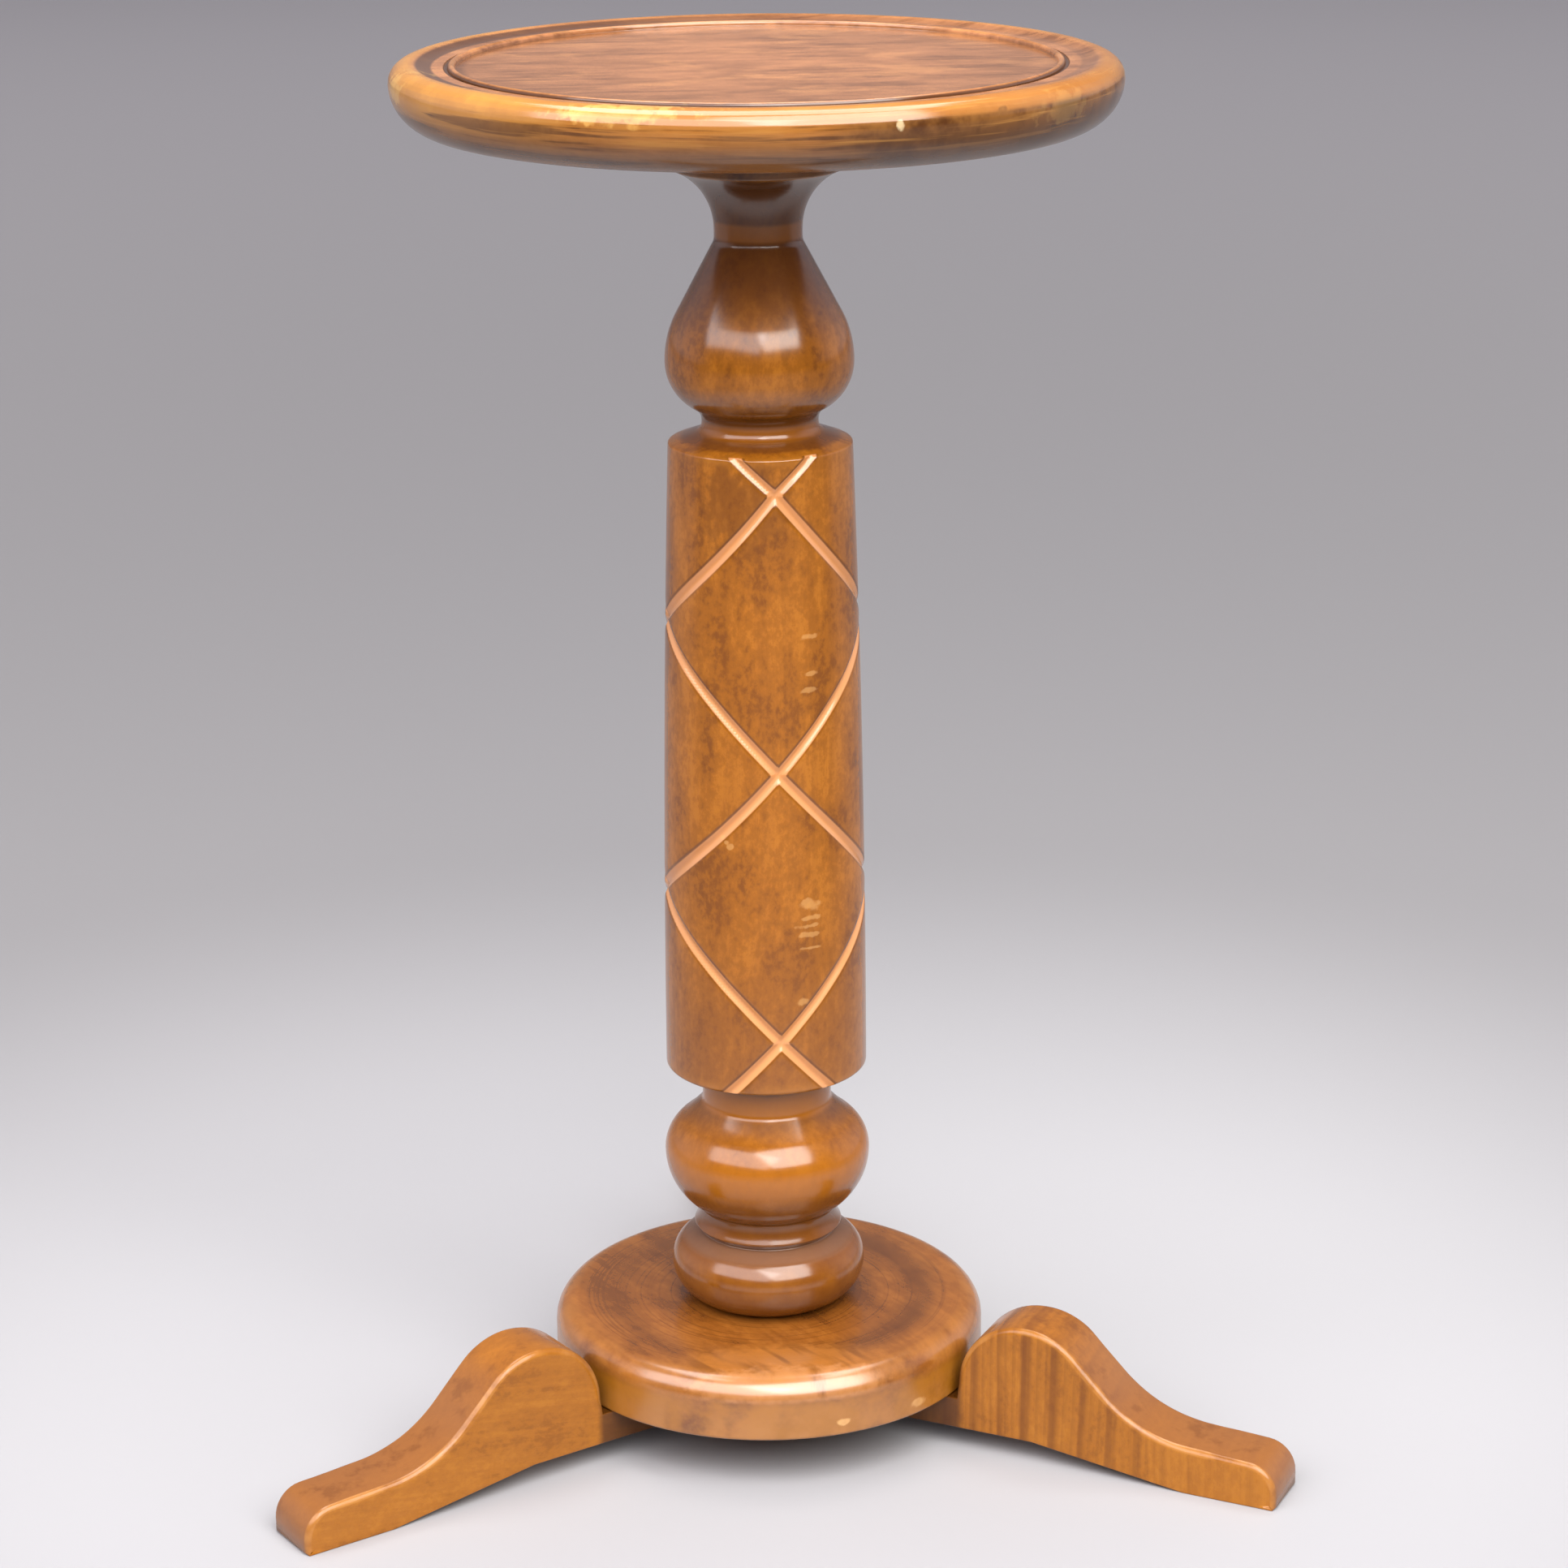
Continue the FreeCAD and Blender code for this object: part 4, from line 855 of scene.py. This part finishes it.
def disc_wood():
    tones = tone(0.25, 0.086, 0.013), tone(0.19, 0.062, 0.009), tone(0.125, 0.039, 0.006)
    wood = StainedWood("disc_wood", (-0.55, 1, 0.1), (0.02, 0, 0.12), tones, (0.6, 0.2, 0.2))
    tree = wood.tree
    wood.growth_rings(0.011, 0.3)
    # Dark ring between the column and the edge, darker on the right
    from_ring = tree.math("ABSOLUTE", tree.math("SUBTRACT", wood.radius, 0.058))
    ring = wood.both(tree.step(from_ring, 0.011, 0.0), tree.step(wood.across, -0.03, 0.03, 0.4, 0.75))
    wood.paint(wood.both(ring, wood.patchy(16.0, 0.15, 0.7)), tone(0.06, 0.018, 0.005))
    # Marks of the turning tool
    around = tree.add("ShaderNodeCombineXYZ", {
        0: tree.math("MULTIPLY", wood.radius, 40.0), 1: wood.across, 2: wood.height}).outputs[0]
    turned = tree.step(tree.noise(around, 22.0, 3.0, 0.6), 0.5, 0.66, 0.0, 0.4)
    wood.paint(wood.both(turned, tree.step(wood.radius, 0.074, 0.068)), tone(0.07, 0.021, 0.005))
    # Paler front with dark strokes, a painted highlight along the rounded front edge, and a paler side
    front = wood.spot(*DISC_FRONT, 0.3)
    wood.paint(wood.both(front, 0.55), tone(0.38, 0.142, 0.025))
    strokes = tree.step(tree.noise(wood.lie, (250.0, 250.0, 42.0), 1.0), 0.46, 0.72, 0.0, 0.6)
    wood.paint(wood.both(strokes, front), tone(0.09, 0.028, 0.005))
    edge_highlight = wood.both(wood.spot(*DISC_EDGE_HIGHLIGHT, 0.5, 0.5), wood.patchy((90.0, 30.0, 30.0), 0.3, 0.5))
    wood.paint(wood.both(edge_highlight, tree.step(wood.height, 0.0335, 0.0355)), tone(0.48, 0.22, 0.085))
    side = wood.both(tree.step(wood.radius, 0.078, 0.0797), tree.step(wood.height, 0.037, 0.032))
    wood.paint(wood.both(side, wood.patchy(45.0, 0.25, 0.55, 0.85)), tone(0.285, 0.108, 0.007))
    for place, sizes in DISC_CHIPS:
        wood.paint(wood.spot(place, sizes, 0.6, 0.8), tone(0.6, 0.34, 0.12))
    wood.age(SHADE_AND_DIRT, tone(0.34, 0.14, 0.03))
    return wood.varnish(0.34, 0.22, 1.8)


def foot_wood(name, grain, pith, spacing, strength, late_from=0.3, colour=None):
    tones = tone(0.34, 0.125, 0.011), tone(0.285, 0.1, 0.008), tone(0.215, 0.071, 0.006)
    wood = StainedWood(name, grain, pith, tones, (0.45, 0.35, 0.2))
    tree = wood.tree
    # Broad stripes with finer ones between them, stronger near the disc
    near = tree.step(wood.radius, 0.175, 0.11, 0.3, 1.0)
    wood.growth_rings(spacing, strength, late_from, colour, near)
    wood.growth_rings(spacing / 3.3, strength * 0.3, 0.3, colour, near)
    # Painted shade on the upper faces, heaviest low in the cove, with darker patches
    upper = wood.noted("upper_face")
    wood.paint(wood.both(upper, tree.step(wood.height, 0.056, 0.03, 0.3, 0.75)), tone(0.185, 0.074, 0.027))
    wood.paint(wood.both(upper, wood.patchy(70.0, 0.52, 0.66, 0.5)), tone(0.12, 0.042, 0.012))
    wood.age(SHADE_AND_DIRT, tone(0.4, 0.18, 0.045))
    # Painted shade in the gap beside the disc
    wood.paint(tree.step(wood.radius, 0.0865, 0.0828, 0.0, 0.8), SHADE_AND_DIRT)
    return wood.varnish(0.36, 0.2, 1.42)


def screw_steel():
    material, tree, shader = new_material("screw_steel")
    position = tree.add("ShaderNodeTexCoord").outputs["Object"]
    rust = tree.step(tree.noise(position, 700.0, 4.0), 0.45, 0.7)
    colour = tree.mix(rust, tone(0.35, 0.34, 0.33), tone(0.16, 0.08, 0.04))
    tree.tree.links.new(colour, shader.inputs["Base Color"])
    tree.tree.links.new(tree.step(rust, 0.0, 1.0, 0.35, 0.75), shader.inputs["Roughness"])
    shader.inputs["Metallic"].default_value = 0.9
    return material


# Pieces

def make_table_top():
    start = (TOP_RADIUS - RIM_SET_BACK - RIM_FOOT, TOP_LOW.z)
    outline = [(0.0, TOP_LOW.z)] + turned_points(start, TOP_STRETCHES, inwards=True)
    outline.append((0.0, outline[-1][1]))
    top = turn_on_lathe("table_top_turned", ease_corners(outline, TOP_CORNER_EASE), TOP_SEGMENTS, top_wood())
    finish_piece(top, "table_top")


def make_column():
    start = (COLUMN_SEAT, DISC_HIGH.z)
    outline = [(0.0, DISC_HIGH.z)] + turned_points(start, COLUMN_STRETCHES)
    outline.append((0.0, outline[-1][1]))
    ends = {}
    height = DISC_HIGH.z
    for name, radius, rise, _ in COLUMN_STRETCHES:
        height += rise
        ends[name] = (radius, height)
    shaft_foot, shaft_top = ends["rounded lower edge of the shaft"], ends["shaft"]
    bow_centre = arc_centre(shaft_foot, shaft_top, SHAFT_BOW)
    column = turn_on_lathe("column_turned", ease_corners(outline), COLUMN_SEGMENTS, column_wood())
    sizes = {name: size * MM for name, size in CARVING.items()}
    sizes |= {
        "Top stretch": CARVING_TOP_STRETCH, "Front angle": CARVING_FRONT, "Lip": CARVING_LIP * MM,
        "Shaft foot": (shaft_foot[1] - CARVING_PAST_FOOT) * MM,
        "Shaft top": (shaft_top[1] + CARVING_PAST_TOP) * MM,
        "Bow": SHAFT_BOW * MM, "Bow centre": bow_centre[0] * MM, "Bow height": bow_centre[1] * MM,
        "Material": column.data.materials[0],
    }
    run_tree(column, carving_tree(), sizes)
    finish_piece(column, "column")


def make_base_disc():
    radius = DISC_HIGH.x
    edge = [
        ("lower arris", radius, DISC_ARRIS, LINE),
        ("upright edge", radius, DISC_HIGH.z - DISC_LOW.z - DISC_ARRIS - DISC_EDGE, LINE),
        ("rounded edge", radius - DISC_EDGE, DISC_EDGE, UPRIGHT_START),
    ]
    outline = [(0.0, DISC_LOW.z)] + turned_points((radius - DISC_ARRIS, DISC_LOW.z), edge)
    outline.append((0.0, DISC_HIGH.z))
    disc = turn_on_lathe("base_disc_turned", ease_corners(outline), DISC_SEGMENTS, disc_wood())
    finish_piece(disc, "base_disc")


def make_feet():
    woods = {
        "foot_left": foot_wood("foot_wood_plain", (-0.87, -0.5, 0.2), (-0.1, 0.1, 0.3), 0.014, 0.2),
        "foot_right": foot_wood("foot_wood_striped", (0, 0, 1), (0.5, -0.25, 0), 0.0105, 1.0, 0.5, STRIPE),
        "foot_back": foot_wood("foot_wood_back", (0.1, 1, 0.1), (0.1, 0.1, 0.3), 0.01, 0.5),
    }
    for node, angle in FOOT_ANGLES.items():
        foot = saw_foot(f"{node}_sawn", angle, woods[node])
        sink_seats(foot, screw_seats(angle))
        finish_piece(foot, node)


def make_screws(steel):
    seats = [seat for angle in FOOT_ANGLES.values() for seat in screw_seats(angle)]
    screws = mesh_piece("foot_screws_slotted", seats, [], steel)
    sizes = {name: size * MM for name, size in SCREW.items()} | {"Material": steel}
    run_tree(screws, screw_tree(), sizes)
    finish_piece(screws, "foot_screws")


def dress_column_screw(steel):
    """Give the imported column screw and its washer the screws' steel."""
    for node in ("column_screw", "column_washer"):
        bpy.data.objects[node].data.materials.clear()
        bpy.data.objects[node].data.materials.append(steel)


# Stage

# Floor near the table, in the shade in front of it and behind it, and far behind it
FLOOR_HALF = 12.0
FLOOR_ROUGHNESS = 0.6
FLOOR_NEAR = tone(0.32, 0.325, 0.343)
FLOOR_SHADE_FRONT = tone(0.1, 0.1, 0.105)
FLOOR_SHADE_BACK = tone(0.2, 0.2, 0.21)
FLOOR_FAR = tone(0.55, 0.55, 0.58)

# Room in front of the table, behind it, low down behind it, and on both sides
ROOM_FRONT = tone(0.09, 0.085, 0.095)
ROOM_BACK = tone(0.24, 0.226, 0.25)
ROOM_LOW = tone(0.3, 0.275, 0.285)
ROOM_SIDES = tone(0.82, 0.76, 0.83)

# Light panels: name, azimuth, elevation, distance, width, height, radiance, colour
LIT_POINT = Vector((0, 0, 0.25))
LIT_FRONT = math.radians(-94.3)
PANELS = [
    ("left_panel", LIT_FRONT - math.radians(36), math.radians(42), 3.3, 4.6, 2.5, 4.6, (1.0, 0.94, 0.95)),
    ("right_panel", LIT_FRONT + math.radians(29), math.radians(48), 3.3, 2.9, 3.3, 8.4, (1.0, 0.96, 0.92)),
    ("top_panel", math.radians(90), math.radians(78), 1.6, 1.4, 0.9, 6.5, (1.0, 0.97, 0.94)),
]


def make_floor():
    """Pale floor that falls off into shade away from the table."""
    material, tree, shader = new_material("pale_floor")
    position = tree.add("ShaderNodeTexCoord").outputs["Object"]
    away = tree.vector("LENGTH", position)
    behind = tree.step(tree.add("ShaderNodeSeparateXYZ", {0: position}).outputs[1], -0.3, 0.3)
    shade = tree.mix(behind, FLOOR_SHADE_FRONT, FLOOR_SHADE_BACK)
    colour = tree.mix(tree.step(away, 0.23, 0.68), FLOOR_NEAR, shade)
    far_behind = tree.math("MULTIPLY", tree.step(away, 0.8, 4.5), behind)
    colour = tree.mix(far_behind, colour, FLOOR_FAR)
    tree.tree.links.new(colour, shader.inputs["Base Color"])
    shader.inputs["Roughness"].default_value = FLOOR_ROUGHNESS
    corners = [(x * FLOOR_HALF, y * FLOOR_HALF, 0) for x, y in ((-1, -1), (1, -1), (1, 1), (-1, 1))]
    floor = mesh_piece("floor", corners, [(0, 1, 2, 3)], material)


def add_panel(name, azimuth, elevation, distance, width, height, radiance, colour):
    """Soft light panel that faces the table. The camera sees its reflection and not the panel."""
    light = bpy.data.lights.new(name, "AREA")
    light.shape = "RECTANGLE"
    light.size = width
    light.size_y = height
    light.energy = radiance * math.pi * width * height
    light.color = colour
    panel = bpy.data.objects.new(name, light)
    away = Vector((math.cos(azimuth) * math.cos(elevation), math.sin(azimuth) * math.cos(elevation),
                   math.sin(elevation)))
    panel.location = LIT_POINT + away * distance
    panel.rotation_euler = (-away).to_track_quat("-Z", "Y").to_euler()
    panel.visible_camera = False
    bpy.context.scene.collection.objects.link(panel)


def make_world():
    """Dim room: darkest in front of the table, brighter low down behind it and on both sides."""
    world = bpy.data.worlds.new("studio")
    world.use_nodes = True
    tree = Tree(world.node_tree)
    way = tree.add("ShaderNodeTexCoord").outputs["Generated"]
    across, ahead, up = tree.add("ShaderNodeSeparateXYZ", {0: way}).outputs
    behind = tree.step(ahead, -0.5, 0.2)
    beside = tree.math("MULTIPLY", tree.step(tree.math("ABSOLUTE", across), 0.45, 0.95), behind)
    low = tree.math("MULTIPLY", tree.step(up, 0.36, 0.16), behind)
    colour = tree.mix(behind, ROOM_FRONT, ROOM_BACK)
    colour = tree.mix(low, colour, ROOM_LOW)
    colour = tree.mix(beside, colour, ROOM_SIDES)
    tree.tree.links.new(colour, world.node_tree.nodes["Background"].inputs["Color"])
    bpy.context.scene.world = world


def make_light():
    for panel in PANELS:
        add_panel(*panel)
    bpy.context.scene.view_settings.view_transform = "Standard"


# Camera
CAMERA_PLACE = (-0.1062, -1.4118, 0.6944)
CAMERA_AZIMUTH = math.radians(85.40)
CAMERA_DIP = 0.3084
CAMERA_ROLL = -0.0085
CAMERA_LENS = 93.95


def make_camera():
    ahead = Vector((math.cos(CAMERA_AZIMUTH) * math.cos(CAMERA_DIP),
                    math.sin(CAMERA_AZIMUTH) * math.cos(CAMERA_DIP), -math.sin(CAMERA_DIP)))
    level = Vector((math.sin(CAMERA_AZIMUTH), -math.cos(CAMERA_AZIMUTH), 0))
    upright = level.cross(ahead)
    right = math.cos(CAMERA_ROLL) * level + math.sin(CAMERA_ROLL) * upright
    up = math.cos(CAMERA_ROLL) * upright - math.sin(CAMERA_ROLL) * level
    data = bpy.data.cameras.new("camera")
    data.lens = CAMERA_LENS
    camera = bpy.data.objects.new("camera", data)
    turn = Matrix((right, up, -ahead)).transposed().to_4x4()
    camera.matrix_world = Matrix.Translation(CAMERA_PLACE) @ turn
    bpy.context.scene.collection.objects.link(camera)
    bpy.context.scene.camera = camera


make_table_top()
make_column()
make_base_disc()
make_feet()
steel = screw_steel()
make_screws(steel)
dress_column_screw(steel)
make_floor()
make_world()
make_light()
make_camera()
